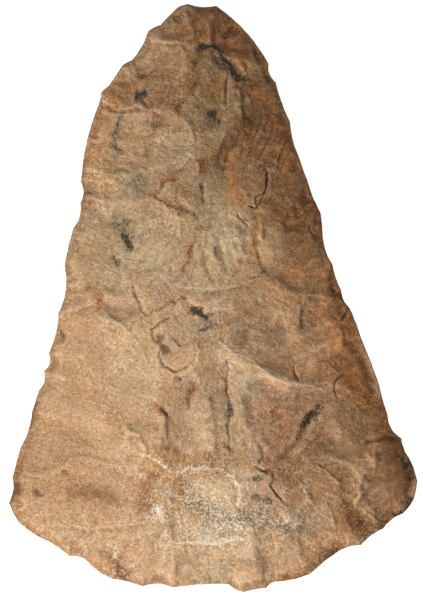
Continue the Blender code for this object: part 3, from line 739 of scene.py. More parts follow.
# %% Fans of ribs
# Where the rays start, the middle of the patch, its half width and half length (all pixels of the
# photograph), the gap between ribs at the patch's middle and their height (mm)
FANS = {
    "middle fan, left": ((236, 140), (184, 256), (28, 34), 3.4, 0.12),
    "middle fan, right": ((190, 120), (226, 254), (34, 38), 4.6, 0.13),
    "neck fan": ((214, 262), (264, 142), (36, 46), 2.3, 0.11),
    "lower right fan": ((258, 462), (318, 478), (50, 44), 2.0, 0.08),
    "corner fan": ((425, 455), (366, 500), (30, 34), 3.4, 0.12),
    "shoulder fan": ((96, 128), (166, 146), (34, 26), 2.4, 0.08),
    "shoulder facet": ((196, 40), (150, 86), (34, 28), 2.6, 0.07),
    "lower middle fan": ((236, 330), (206, 372), (22, 22), 2.0, 0.1),
}
FAN_BEND_WAVE, FAN_BREAK_WAVE = 14 * MM, 7 * MM       # sizes of the ribs' bends and of their breaks
SLOW_WAVE, SLOW_HEIGHT = 17 * MM, 0.25 * MM
QUICK_WAVE, QUICK_HEIGHT = 4.0 * MM, 0.04 * MM


def fan_relief(points):
    """The summed height of the fans of ribs at each point."""
    relief = np.zeros(len(points))
    for layer, (start, middle, half, rib_gap, height) in enumerate(FANS.values()):
        start, middle = spot(*start), spot(*middle)
        inside = np.hypot(*((points - middle) / (np.array(half) * PIXEL)).T)
        near = inside < 1
        away = points[near] - start
        angle = np.arctan2(away[:, 0], -away[:, 1])
        rays = np.hypot(*(middle - start)) / (rib_gap * MM)
        bend = rough(points[near], FAN_BEND_WAVE, 40.0 + layer)
        broken = np.clip(0.8 + 1.4 * rough(points[near], FAN_BREAK_WAVE, 50.0 + layer), 0, 1.8)
        ribs = np.sin(2 * math.pi * rays * angle + 5 * bend) * broken
        relief[near] += height * MM * ribs * (1 - inside[near]**2)
    return relief


def undulation(points, layer):
    """The stone's uneven skin, in a slow and a quick wave."""
    slow = SLOW_HEIGHT * rough(points, SLOW_WAVE, layer)
    return slow + QUICK_HEIGHT * rough(points, QUICK_WAVE, layer + 7.0)


print(f"{len(FANS)} fans of ribs")

# %% [markdown]
# ## The mesh
# Both faces are triangulated over the same outline and share its corners, so the stone closes
# along its edge. The upper face is seen from close by and gets a fine grid. Along each modelled
# line three rows of corners are set down first, on it and beside it, and the grid keeps clear of
# them: then the triangles follow the line instead of crossing it in a zigzag. The belly has
# plainer relief and a coarser grid.

# %% Corners of both faces
FACE_STEP = 0.68 * MM
BELLY_STEP = 1.35 * MM
LINE_STEP = 0.60 * MM        # between corners along a modelled line
LINE_APART = 0.42 * MM       # from the line to the row on either side
LINE_CLEAR = 0.40 * MM       # the grid keeps this far from those rows
RING_IN, GRID_IN = 0.8, 1.4  # how far in from the edge the ring and the grid lie, in steps


def grid_points(step):
    """A ring just in from the edge, then an even grid of triangles' corners."""
    ring = rim - RING_IN * step * outwards_of(rim)
    ring = ring[gap_to(edge_tree, ring) > 0.65 * step]
    ring = ring[::max(1, round(step / EDGE_STEP))]
    rows = []
    for number, level in enumerate(np.arange(-LENGTH / 2, LENGTH / 2, step * math.sqrt(0.75))):
        across = np.arange(-WIDTH / 2, WIDTH / 2, step) + step / 2 * (number % 2)
        rows.append(np.stack((across, np.full(len(across), level)), axis=1))
    grid = np.concatenate(rows)
    grid = grid[lies_inside(grid)]
    grid = grid[gap_to(edge_tree, grid) > GRID_IN * step]
    return np.concatenate((ring, grid))


def line_points():
    """Rows of corners along every modelled line and on both sides of it. The chance wave is taken
    off their places, because the relief adds it when it looks for its line."""
    rows = []
    for *_, places in LINES.values():
        corners = route(places)
        for start, end in zip(corners[:-1], corners[1:]):
            run = end - start
            span = np.hypot(*run)
            steps = np.arange(0, 1, LINE_STEP / span)[:, None]
            aside = LINE_APART * np.array((run[1], -run[0])) / span
            rows += [start + steps * run + shift * aside for shift in (-1, 0, 1)]
    drawn = np.concatenate(rows)
    drawn = drawn - (ruffled(drawn) - drawn)
    drawn = drawn[lies_inside(drawn)]
    return drawn[gap_to(edge_tree, drawn) > FACE_STEP]


def thinned(points, apart):
    """The points in their order, less each one that comes too near one before it."""
    taken = set()
    kept = []
    for x, y in points:
        cell = (round(x / apart), round(y / apart))
        if cell not in taken:
            taken.add(cell)
            kept.append((x, y))
    return np.array(kept)


drawn_lines = thinned(line_points(), LINE_CLEAR)
face_grid = grid_points(FACE_STEP)
face_grid = face_grid[gap_to(tree_of(drawn_lines), face_grid) > LINE_CLEAR]
face_inner = np.concatenate((drawn_lines, face_grid))
belly_inner = grid_points(BELLY_STEP)
print(f"{len(face_inner)} corners inside the upper face, {len(drawn_lines)} of them along lines")
print(f"{len(belly_inner)} corners inside the belly")

# %% [markdown]
# The heights of both faces follow. The upper face sums everything above. The belly has its own
# scars and two flat spots: one that it lies on, and near the butt a seat for a wooden handle.

# %% Heights of both faces
SMOOTH_MIDDLE, SMOOTH_HALF, SMOOTH_SHARE = (96, 400), (60, 90), 0.6     # places in the photograph
FACE_DISHES, BELLY_DISHES = 420, 160


def calm_rim(points):
    """How strongly fine relief shows: not at all on the edge, fully a little way in."""
    return np.clip(gap_to(edge_tree, points) / RIM_CALM, 0, 1)


def ruggedness(points):
    """How rough the upper face is: less in the smooth field at its lower left."""
    gap = (points - spot(*SMOOTH_MIDDLE)) / (np.array(SMOOTH_HALF) * PIXEL)
    return 1 - SMOOTH_SHARE * np.exp(-np.sum(gap**2, axis=1))


def face_heights(points):
    """Height of the upper face, with all its relief."""
    height, stray = swell(points, FACE_RISE)
    strayed = ruffled(points)
    fine = rib_relief(scar_rays(points, face_flakes())) + plate_relief(points, 9.0)
    fine -= dish_relief(points, chance_dishes(FACE_DISHES, CHANCE_SEED))
    fine *= ruggedness(points)
    fine += line_relief(points, strayed) + fan_relief(strayed) + undulation(points, 1.0)
    fine *= calm_rim(points)
    return BELLY_DROP + stray + scarred(height, points, face_flakes()) + fine


def haft_plane():
    """The handle's seat: a point on it, and how steeply it climbs across and along."""
    middle = place(*HAFT_SEAT)
    spots = middle + SHOULDER * np.array(((0, 0), (-1, 0), (1, 0), (0, -1), (0, 1)))
    depth, stray = swell(spots, BELLY_DROP + REST_CUT)
    uncut = BELLY_DROP + stray - depth
    slope = np.array((uncut[2] - uncut[1], uncut[4] - uncut[3])) / (2 * SHOULDER)
    return np.append(middle, uncut[0] + HAFT_CUT), slope


def belly_heights(points):
    """Height of the belly, with its rest at zero and its seat for a handle."""
    depth, stray = swell(points, BELLY_DROP + REST_CUT)
    cut = BELLY_DROP + stray - scarred(depth, points, belly_flakes())
    fine = undulation(points, 61.0) + rib_relief(scar_rays(points, belly_flakes()))
    fine -= dish_relief(points, chance_dishes(BELLY_DISHES, CHANCE_SEED + 1))
    cut += fine * calm_rim(points)
    seat, slope = haft_plane()
    plane = seat[2] + (points - seat[:2]) @ slope
    return np.maximum.reduce((cut, np.zeros(len(points)), plane))


# %% [markdown]
# Delaunay triangulation keeps the triangles well shaped. A side that joined two corners of the
# edge across the stone would belong to both faces at once, so a point is set in the middle of
# any such side, and the plan is triangulated again.

# %% Triangles and the stone's object
edge_loop = [(index, (index + 1) % len(rim)) for index in range(len(rim))]


def triangulate(inner):
    """Corners and triangles over the outline, with no side that joins two edge corners across."""
    count = len(rim)
    while True:
        points = np.concatenate((rim, inner))
        result = delaunay_2d_cdt([Vector(point) for point in points], edge_loop, [], 1, 1e-9)
        source = [origin[0] for origin in result[3]]
        triangles = [[source[corner] for corner in face] for face in result[2]]
        chords = set()
        for face in triangles:
            for a, b in zip(face, face[1:] + face[:1]):
                if max(a, b) < count and (b - a) % count not in (1, count - 1):
                    chords.add((min(a, b), max(a, b)))
        if not chords:
            return points, np.array(triangles)
        inner = np.concatenate((inner, [(points[a] + points[b]) / 2 for a, b in chords]))


def stone_mesh():
    """The closed stone, and each corner's plan and face (1 above, -1 below, 0 on the edge)."""
    count = len(rim)
    top_plan, top_faces = triangulate(face_inner)
    low_plan, low_faces = triangulate(belly_inner)
    top_level = face_heights(top_plan)
    top_level[:count] = BELLY_DROP + rim_levels
    low_level = belly_heights(low_plan[count:])
    shifted = np.where(low_faces < count, low_faces, low_faces + len(top_plan) - count)
    plan = np.concatenate((top_plan, low_plan[count:]))
    level = np.concatenate((top_level, low_level))
    side = np.concatenate((np.zeros(count), np.ones(len(top_plan) - count), -np.ones(len(low_level))))
    faces = np.concatenate((top_faces, shifted[:, ::-1]))
    mesh = bpy.data.meshes.new("flaked_blade")
    mesh.from_pydata(np.column_stack((plan, level)).tolist(), [], faces.tolist())
    mesh.shade_smooth()
    room = np.abs(level - BELLY_DROP)
    mesh.attributes.new("swell", "FLOAT", "POINT").data.foreach_set("value", room)
    mesh.attributes.new("side", "FLOAT", "POINT").data.foreach_set("value", side)
    return mesh, plan, side


blade_mesh, plan, face_of = stone_mesh()
blade = bpy.data.objects.new("flaked_blade", blade_mesh)
bpy.context.scene.collection.objects.link(blade)
print(f"the dressed blade has {len(blade_mesh.polygons)} triangles")

# %% [markdown]
# ## Node helpers
# Both the relief that repeats and the stone's finish are node trees. Small helpers keep them
# readable: one adds a node with its settings and inputs, and others do sums, mix two colours,
# name a tree's sockets, and begin and end a tree that shapes a mesh.

# %% Helpers for node trees


def add(tree, kind, inputs=None, **settings):
    """A new node. Its inputs are given by name or number, as values or as sockets to link."""
    new = tree.nodes.new(kind)
    for name, value in settings.items():
        setattr(new, name, value)
    for name, value in (inputs or {}).items():
        if isinstance(value, bpy.types.NodeSocket):
            tree.links.new(value, new.inputs[name])
        else:
            new.inputs[name].default_value = value
    return new


def calc(tree, operation, *values, clamp=False):
    """The result of one sum on numbers."""
    new = add(tree, "ShaderNodeMath", dict(enumerate(values)), operation=operation, use_clamp=clamp)
    return new.outputs[0]


def product(tree, value, *others):
    """Several numbers multiplied."""
    for other in others:
        value = calc(tree, "MULTIPLY", value, other)
    return value


def summed(tree, total, *parts):
    """A number, plus each part's value times its weight."""
    for value, weight in parts:
        total = calc(tree, "MULTIPLY_ADD", value, weight, total)
    return total


def mixed(tree, share, first, second, way="MIX"):
    """Two colours mixed: the second one by its share."""
    inputs = {0: share, 6: first, 7: second}
    return add(tree, "ShaderNodeMix", inputs, data_type="RGBA", blend_type=way).outputs[2]


def socket(tree, name, kind, value=None, out=False):
    """A named input or output of a tree."""
    way = "OUTPUT" if out else "INPUT"
    made = tree.interface.new_socket(name, in_out=way, socket_type="NodeSocket" + kind)
    if value is not None:
        made.default_value = value


def shaping_tree(name, inputs):
    """A tree that takes a mesh, a material and other inputs, gives a mesh, and is empty so far."""
    tree = bpy.data.node_groups.new(name, "GeometryNodeTree")
    socket(tree, "Geometry", "Geometry")
    socket(tree, "Geometry", "Geometry", out=True)
    for label, kind in inputs.items():
        socket(tree, label, kind)
    socket(tree, "Stone", "Material")
    return tree, add(tree, "NodeGroupInput").outputs


def close_tree(tree, given, move):
    """Moves the mesh's corners, and ends the tree in a real mesh with its material."""
    shaped = add(tree, "GeometryNodeSetPosition", {"Geometry": given["Geometry"], "Offset": move})
    real = add(tree, "GeometryNodeRealizeInstances", {"Geometry": shaped.outputs["Geometry"]})
    inputs = {"Geometry": real.outputs["Geometry"], "Material": given["Stone"]}
    done = add(tree, "GeometryNodeSetMaterial", inputs)
    add(tree, "NodeGroupOutput", {"Geometry": done.outputs["Geometry"]})
    return tree


# %% [markdown]
# ## Trimmed edge
# After the big flakes, the maker trimmed the edge with many small blows, on one face or the
# other, at a more or less even pace round the blade. That is a shape that follows a path, so
# Geometry Nodes make it. The tree walks the edge at a set pace, gives each stop a chance size and
# face, and presses a shallow dish into the stone round the nearest stop. Where two dishes meet, a
# small arris is left, as on the real edge.

# %% Tree of the trimmed edge
STOP_STRAY = 0.4             # how far a stop strays from the even pace, as a share of it
DISH_SIZES = (0.35, 1.3)     # least and most size of a dish, as a share of the given one


def trimmed_edge_tree():
    """Presses small dishes into the stone's edge."""
    inputs = {"Edge": "Object", "Seed": "Int"}
    for name in ("Pace", "Reach", "Width", "Depth", "Edge level"):
        inputs[name] = "Float"
    tree, given = shaping_tree("trimmed edge", inputs)
    edge = add(tree, "GeometryNodeObjectInfo", {"Object": given["Edge"]}).outputs["Geometry"]
    curve = add(tree, "GeometryNodeMeshToCurve", {"Mesh": edge}).outputs["Curve"]
    inputs = {"Curve": curve, "Length": given["Pace"]}
    paced = add(tree, "GeometryNodeResampleCurve", inputs, mode="LENGTH").outputs["Curve"]
    stops = add(tree, "GeometryNodeCurveToPoints", {"Curve": paced}, mode="EVALUATED").outputs

    def chance(lowest, highest, layer):
        inputs = {2: lowest, 3: highest, "Seed": calc(tree, "ADD", given["Seed"], layer)}
        return add(tree, "FunctionNodeRandomValue", inputs, data_type="FLOAT").outputs[1]

    def vector(operation, inputs, output=0):
        return add(tree, "ShaderNodeVectorMath", inputs, operation=operation).outputs[output]

    along = product(tree, chance(-STOP_STRAY, STOP_STRAY, 1.0), given["Pace"])
    step = vector("SCALE", {0: stops["Tangent"], "Scale": along})
    inputs = {"Geometry": stops["Points"], "Offset": step}
    points = add(tree, "GeometryNodeSetPosition", inputs).outputs["Geometry"]
    position = add(tree, "GeometryNodeInputPosition").outputs[0]
    parts = add(tree, "ShaderNodeSeparateXYZ", {0: position}).outputs
    inputs = {"X": parts["X"], "Y": parts["Y"], "Z": given["Edge level"]}
    here = add(tree, "ShaderNodeCombineXYZ", inputs).outputs[0]
    inputs = {"Geometry": points, "Sample Position": here}
    nearest = add(tree, "GeometryNodeSampleNearest", inputs, domain="POINT").outputs["Index"]

    def at_stop(value, kind="FLOAT"):
        inputs = {"Geometry": points, "Value": value, "Index": nearest}
        return add(tree, "GeometryNodeSampleIndex", inputs, data_type=kind, domain="POINT").outputs[0]

    root = at_stop(position, "FLOAT_VECTOR")
    run = at_stop(stops["Tangent"], "FLOAT_VECTOR")
    size = at_stop(chance(*DISH_SIZES, 2.0))
    face = at_stop(calc(tree, "SIGN", chance(-1.0, 1.0, 3.0)))
    gap = vector("SUBTRACT", {0: here, 1: root})
    sideways = vector("DOT_PRODUCT", {0: gap, 1: run}, "Value")
    length = vector("LENGTH", {0: gap}, "Value")
    across = calc(tree, "DIVIDE", sideways, product(tree, given["Width"], 0.5))
    across = calc(tree, "DIVIDE", across, size)
    inwards = calc(tree, "SUBTRACT", product(tree, length, length), product(tree, sideways, sideways))
    inwards = calc(tree, "SQRT", calc(tree, "MAXIMUM", inwards, 0.0))
    inwards = calc(tree, "DIVIDE", calc(tree, "DIVIDE", inwards, given["Reach"]), size)
    out = calc(tree, "ADD", product(tree, across, across), product(tree, inwards, inwards))
    dish = calc(tree, "MAXIMUM", calc(tree, "SUBTRACT", 1.0, out), 0.0)
    dish = product(tree, dish, given["Depth"], size)

    def written(name):
        return add(tree, "GeometryNodeInputNamedAttribute", {"Name": name}, data_type="FLOAT").outputs[0]

    dish = calc(tree, "MINIMUM", dish, product(tree, written("swell"), 0.5))
    side = written("side")
    struck = calc(tree, "MULTIPLY", face, side, clamp=True)
    fall = product(tree, dish, struck, product(tree, side, -1.0))
    return close_tree(tree, given, add(tree, "ShaderNodeCombineXYZ", {"Z": fall}).outputs[0])


# %% [markdown]
# ## Grain of the skin
# The stone has a coarse grain, and its weathered skin is pitted like orange peel. Chance noise
# pushes every corner a little in or out along its normal, and small round pits are cut at chance
# places. This is relief that covers a surface by a rule, so it is a second tree.

# %% Tree of the weathered skin


def weathered_skin_tree():
    """Roughens the stone's skin with grain and pits."""
    names = ("Grain size", "Grain height", "Pit gap", "Pit radius", "Pit depth", "Seed")
    tree, given = shaping_tree("weathered skin", {name: "Float" for name in names})
    inputs = {
        "W": given["Seed"], "Scale": calc(tree, "DIVIDE", 1.0, given["Grain size"]), "Detail": 3.0,
        "Roughness": 0.6}
    grain = add(tree, "ShaderNodeTexNoise", inputs, noise_dimensions="4D").outputs[0]
    grain = calc(tree, "SUBTRACT", grain, 0.5)
    grain = product(tree, grain, product(tree, given["Grain height"], 2.0))
    inputs = {"W": given["Seed"], "Scale": calc(tree, "DIVIDE", 1.0, given["Pit gap"])}
    cells = add(tree, "ShaderNodeTexVoronoi", inputs, voronoi_dimensions="4D").outputs
    out = calc(tree, "DIVIDE", product(tree, cells["Distance"], given["Pit gap"]), given["Pit radius"])
    depth = calc(tree, "SUBTRACT", 1.0, out, clamp=True)
    pits = product(tree, depth, depth, given["Pit depth"])
    normal = add(tree, "GeometryNodeInputNormal").outputs[0]
    inputs = {0: normal, "Scale": calc(tree, "SUBTRACT", grain, pits)}
    return close_tree(tree, given, add(tree, "ShaderNodeVectorMath", inputs, operation="SCALE").outputs[0])


# %% Both trees shape the blade
stone = bpy.data.materials.new("weathered stone skin")
TRIM = {
    "Pace": 6.5 * MM, "Reach": 6.0 * MM, "Width": 9.5 * MM, "Depth": 0.9 * MM,
    "Edge level": BELLY_DROP, "Seed": 5}
SKIN = {
    "Grain size": 2.4 * MM, "Grain height": 0.06 * MM, "Pit gap": 7.5 * MM, "Pit radius": 1.5 * MM,
    "Pit depth": 0.22 * MM, "Seed": 4.0}


def edge_line():
    """The blade's edge as a closed line, for the tree to walk along."""
    mesh = bpy.data.meshes.new("edge_line")
    mesh.from_pydata(np.column_stack((rim, BELLY_DROP + rim_levels)).tolist(), edge_loop, [])
    path = bpy.data.objects.new("edge_line", mesh)
    bpy.context.scene.collection.objects.link(path)
    return path


def shape_with(piece, tree, values):
    """Adds a tree to a piece as a modifier, with its inputs set by their sockets' identifiers."""
    modifier = piece.modifiers.new(tree.name, "NODES")
    modifier.node_group = tree
    for item in tree.interface.items_tree:
        if item.in_out == "INPUT" and item.name in values:
            modifier[item.identifier] = values[item.name]


def settle(piece):
    """Turns what a piece's modifiers make into its plain mesh, and removes them."""
    graph = bpy.context.evaluated_depsgraph_get()
    shaped = piece.evaluated_get(graph)
    piece.data = bpy.data.meshes.new_from_object(shaped, preserve_all_data_layers=True, depsgraph=graph)
    piece.modifiers.clear()


edge_path = edge_line()
before = np.array([vertex.co.z for vertex in blade.data.vertices])
shape_with(blade, trimmed_edge_tree(), {**TRIM, "Edge": edge_path, "Stone": stone})
shape_with(blade, weathered_skin_tree(), {**SKIN, "Stone": stone})
settle(blade)
bpy.data.objects.remove(edge_path)
moved = np.abs(np.array([vertex.co.z for vertex in blade.data.vertices]) - before)
print(f"the trees moved the skin by up to {moved.max() / MM:.2f} mm")

# %% [markdown]
# ## Where the colours lie
# Weather coloured the stone unevenly: orange-tan on the left, brown at the butt and along the
# right side, pale where a scar is fresher, rosy low on the right, with an olive or sage cast
# between. On top lie small stains: charcoal-black veins and spots, rust, dirt and a chalky crust.
# An image could hold all that, but it would smear over the edge. So both are painted as numbers
# on the mesh's corners, one layer for each colour, and the finish gives them ragged rims.

# %% Broad tints
HALF_FALL = 0.7              # a stroke has half its strength, exp(-0.7), at its half width
TINT_FLATNESS = 1.4          # over one, a tint is more even inside and steeper at its rim
# In each layer, its patches' strength, middle, half width and half length (pixels of the
# photograph) and lean (degrees, anticlockwise)
TINTS = {}
TINTS["brown"] = {
    "butt, right facet": (0.95, (236, 42), (32, 40), 0),
    "butt, left facet": (0.55, (180, 24), (34, 20), 0),
    "shoulder facet": (0.65, (176, 84), (30, 30), -30),
    "neck, right": (0.95, (262, 118), (26, 44), 0),
    "neck, middle": (0.75, (205, 112), (24, 26), 0),
    "neck, low": (0.85, (224, 152), (22, 26), 0),
    "right side, upper": (0.85, (282, 180), (26, 50), 15),
    "right side, middle": (0.95, (302, 232), (26, 40), 15),
    "right middle": (0.55, (330, 330), (34, 44), 20),
    "right of dent": (0.5, (322, 428), (44, 30), 0),
    "right corner, wide": (0.8, (366, 470), (46, 50), 0),
    "below the crack": (0.6, (306, 470), (40, 30), 0),
    "smear": (0.9, (100, 492), (30, 9), 0),
    "left corner": (0.55, (24, 490), (22, 40), 0),
    "left corner, wide": (0.3, (60, 490), (50, 50), 0),
}
TINTS["olive"] = {
    "neck, olive": (0.85, (222, 124), (34, 56), 0),
    "left, olive": (0.7, (116, 232), (50, 44), 0),
    "grey patch": (0.9, (142, 186), (14, 18), 20),
    "centre, olive": (0.75, (236, 330), (38, 32), 0),
    "lower middle, olive": (0.6, (222, 412), (24, 50), 0),
}
TINTS["russet"] = {
    "right side, lower": (0.7, (310, 268), (40, 26), 15),
    "right edge, russet": (0.7, (346, 356), (22, 44), 15),
    "right, low": (0.35, (300, 350), (46, 34), 0),
    "reddish patch": (0.6, (280, 412), (22, 26), 0),
    "bit, right": (0.4, (336, 520), (44, 34), -30),
    "orange veil": (0.75, (233, 168), (9, 36), 12),
    "orange ridge": (0.5, (252, 240), (7, 30), -10),
}
TINTS["pale"] = {
    "fresh neck scar": (0.6, (178, 148), (26, 30), 0),
    "fresh middle scar": (0.95, (232, 240), (42, 34), 0),
    "fresh middle scar, right": (0.5, (254, 224), (14, 30), 0),
    "left of middle": (0.4, (140, 268), (34, 22), 0),
    "centre, pink": (0.4, (196, 316), (30, 22), 0),
    "left field, pale": (0.55, (140, 350), (34, 34), 0),
    "bit, middle": (0.45, (205, 560), (60, 26), 0),
    "crust ground": (0.6, (205, 505), (50, 44), 0),
}
TINTS["warm"] = {
    "left field": (0.6, (84, 400), (44, 80), 10),
    "bit, pale orange": (0.5, (330, 500), (24, 14), 0),
    "left edge, orange": (0.7, (92, 140), (18, 60), 10),
}
TINTS["umber"] = {
    "right corner": (0.3, (398, 478), (20, 38), 15),
}
TINTS["sage"] = {
    "neck, sage": (0.34, (206, 132), (34, 40), 0),
    "neck, sage low": (0.3, (206, 186), (26, 32), 0),
}
TINTS["rosy"] = {
    "middle, rosy": (0.75, (200, 322), (44, 26), 0),
    "under the ridge, rosy": (0.85, (286, 392), (56, 34), -20),
    "below the crack, rosy": (0.8, (282, 466), (38, 44), 0),
    "bit, rosy": (0.6, (190, 560), (110, 24), 0),
}


def tint_layers(points):
    """Each broad tint's strength at each point."""
    layers = {}
    for layer, patches in TINTS.items():
        bare = np.ones(len(points))
        for strength, middle, half, lean in patches.values():
            lean = math.radians(lean)
            gap = (points - spot(*middle)) / PIXEL
            across = (gap[:, 0] * math.cos(lean) + gap[:, 1] * math.sin(lean)) / half[0]
            along = (gap[:, 1] * math.cos(lean) - gap[:, 0] * math.sin(lean)) / half[1]
            bare *= 1 - strength * np.exp(-HALF_FALL * (across**2 + along**2)**TINT_FLATNESS)
        layers[layer] = 1 - bare
    return layers


# %% Stains
# In each layer, its marks' strength, half width (mm) and places in the photograph
STAINS = {}
STAINS["charcoal"] = {
    "vein, head": (0.7, 1.2, ((199, 49), (206, 46), (213, 46), (219, 51))),
    "vein, body": (0.8, 1.0, ((218, 50), (222, 58), (229, 63), (233, 71), (238, 77))),
    "vein, tail": (0.7, 0.9, ((228, 70), (236, 79), (246, 81))),
    "vein, inner strand": (0.66, 0.9, ((211, 52), (214, 61), (220, 66), (228, 71))),
    "vein, mark above": (0.42, 1.2, ((220, 32), (227, 38))),
    "shoulder spot": (0.94, 1.6, ((136, 98), (141, 95), (144, 93))),
    "left dots, upper": (0.42, 1.1, ((122, 116), (119, 126))),
    "left dots, middle": (0.55, 1.0, ((119, 124), (116, 134))),
    "left dots, lower": (0.56, 1.5, ((115, 138), (115, 147), (119, 151))),
    "neck oval": (0.8, 1.8, ((213, 115), (214, 120))),
    "grey patch": (0.34, 3.0, ((141, 176), (143, 190))),
    "left blot, scatter": (0.28, 3.0, ((117, 222), (131, 236))),
    "left blot": (0.92, 1.3, ((124, 237), (129, 243), (133, 250))),
    "left blot, specks": (0.58, 1.0, ((113, 224), (120, 230), (127, 236))),
    "left blot, specks right": (0.55, 0.8, ((124, 221), (128, 224))),
    "left speck, low": (0.6, 0.9, ((114, 258), (117, 264))),
    "left speck, right": (0.66, 0.6, ((125, 266), (127, 267))),
    "left grey": (0.4, 2.0, ((90, 208), (92, 213))),
    "left edge spot": (0.6, 0.9, ((62, 331), (64, 339))),
    "centre black": (1.0, 1.7, ((197, 311), (200, 315), (206, 317))),
    "centre black, low": (0.8, 0.7, ((200, 331), (206, 329), (209, 327))),
    "lens specks": (0.45, 0.7, ((176, 377), (181, 379))),
    "dent streak": (1.0, 1.8, ((312, 411), (308, 416), (305, 422))),
    "dent streak, head": (0.55, 1.4, ((320, 402), (315, 410))),
    "dent streak, tail": (0.5, 1.0, ((303, 428), (297, 438))),
    "plate spot, right": (1.0, 0.9, ((266, 497), (270, 501))),
    "valley spot": (0.7, 1.3, ((231, 406), (231, 416))),
    "plate spot": (0.85, 0.8, ((253, 478), (260, 477))),
    "plate spot, low": (0.85, 0.7, ((256, 494), (260, 495))),
    "plate speck": (0.75, 0.8, ((236, 507), (239, 510))),
    "right corner black": (0.92, 1.5, ((402, 459), (406, 465))),
    "right corner edge": (0.92, 1.1, ((398, 514), (406, 509), (411, 500))),
    "grey hair": (0.5, 0.6, ((201, 184), (203, 198))),
}
STAINS["olive"] = {
    "vein, halo": (0.75, 3.2, ((202, 50), (214, 54), (224, 66), (240, 80))),
    "neck halo": (0.7, 4.5, ((216, 112), (216, 124))),
    "left dots, halo": (0.5, 2.2, ((121, 116), (116, 134), (116, 150))),
    "splinter, grey shade": (0.9, 2.6, ((205, 176), (201, 198), (200, 224))),
}
STAINS["umber"] = {
    "shoulder specks": (0.8, 0.9, ((140, 77), (145, 77))),
    "shoulder trail": (0.62, 0.8, ((150, 74), (156, 71))),
    "shoulder smudge": (0.5, 1.6, ((121, 84), (126, 84))),
    "purple spot": (0.9, 1.5, ((160, 341), (166, 350))),
    "smear": (0.32, 1.7, ((79, 493), (96, 494), (114, 494))),
    "right corner, red": (0.62, 1.8, ((390, 438), (398, 440), (402, 447))),
    "right rim, dark": (0.66, 0.8, ((315, 204), (319, 214), (320, 224))),
    "right rim, dark middle": (0.6, 0.8, ((324, 250), (331, 262))),
    "right rim, dark low": (0.66, 0.8, ((337, 280), (341, 290), (341, 297))),
    "bit edge dark": (0.75, 1.2, ((328, 557), (338, 551))),
    "left corner dark": (0.92, 1.5, ((10, 500), (14, 492), (18, 484))),
    "left corner speck": (0.88, 0.8, ((36, 492), (43, 495))),
    "left speck, bit": (0.66, 0.9, ((63, 471), (69, 474))),
    "edge speck, upper": (0.6, 0.8, ((42, 391), (44, 393))),
    "edge speck, lower": (0.8, 0.8, ((37, 402), (34, 412), (31, 426))),
    "butt speck": (0.75, 0.9, ((186, 12), (190, 14))),
    "rust eye, core": (0.62, 0.6, ((204, 165), (204, 168))),
    "inner foot dark": (0.42, 2.2, ((166, 444), (176, 450))),
}
STAINS["chalk"] = {
    "centre halo": (0.4, 0.9, ((203, 325), (211, 325), (214, 330))),
    "crust body": (0.27, 15.0, ((190, 500), (215, 505))),
    "crust body, foot": (0.36, 6.0, ((185, 531), (235, 527))),
    "crust blob": (0.98, 1.8, ((158, 508), (160, 517))),
    "crust blob, tail": (0.56, 1.0, ((160, 516), (165, 527))),
    "crust foot": (0.74, 1.5, ((203, 539), (215, 540), (228, 538))),
    "crust haze": (0.24, 7.0, ((255, 515), (282, 520))),
    "bit mark": (0.46, 0.8, ((115, 548), (116, 555))),
    "bit mark, right": (0.4, 0.8, ((303, 484), (306, 490))),
    "left shoulder mark": (0.4, 0.8, ((105, 101), (108, 104))),
    # Painted highlight along the long ridge, together with its wear
    "ridge highlight and wear": (0.44, 0.5, ((216, 337), (222, 344), (231, 351), (242, 358))),
    "ridge highlight and wear low": (0.36, 0.4, ((284, 377), (294, 383), (306, 386))),
}
STAINS["rust"] = {
    "rust eye": (0.8, 1.3, ((203, 163), (204, 171))),
    "rust eye, left": (0.72, 0.9, ((178, 171), (182, 172))),
    "rust curve": (0.6, 0.8, ((156, 196), (162, 187), (163, 182), (168, 179), (177, 179))),
    "rust drop": (0.85, 0.7, ((177, 191), (175, 202))),
    "rust specks": (0.44, 0.9, ((150, 196), (162, 203), (170, 206), (180, 211), (191, 214))),
    "rust specks, low": (0.46, 1.0, ((198, 228), (208, 229))),
    "rust run": (0.72, 1.0, ((190, 247), (190, 256), (187, 263), (182, 270))),
    "orange veil": (0.18, 4.5, ((232, 128), (229, 150), (236, 178), (240, 200))),
    "rust drip": (0.62, 1.0, ((193, 386), (190, 396), (187, 404))),
    "inner step red": (0.52, 1.0, ((156, 404), (163, 412))),
    "left rust": (0.45, 1.4, ((88, 288), (100, 298), (101, 306))),
}
LINE_STAIN = 0.6             # half width of the colour along a line, as a share of the line's own
SWELL_WAVE = 3.5 * MM        # from one swelling of a stain to the next
COLOUR_LAYERS = tuple(TINTS | STAINS)


def stain_layers(points):
    """Each stain's strength at each point, full in its middle and fading over its rim."""
    marks = [(layer, *stain) for layer, stains in STAINS.items() for stain in stains.values()]
    # The lines' colours go in too: pale along a line is mostly a painted highlight, umber partly painted
    # shade
    for _, _, width, _, layer, strength, places in LINES.values():
        if layer:
            marks.append((layer, strength, LINE_STAIN * width, places))
    layers = {name: np.zeros(len(points)) for name in COLOUR_LAYERS}
    swelling = np.clip(1 + 1.5 * rough(points, SWELL_WAVE, 71.0), 0.35, 1.9)
    for layer, strength, half, places in marks:
        corners = route(places)
        near = close_by(points, corners, 3 * half * MM)
        gap = beside(points[near], corners)[0] / (half * MM) / swelling[near]
        cover = strength * np.exp(-HALF_FALL * gap**2)
        layers[layer][near] = np.maximum(layers[layer][near], cover)
    return layers
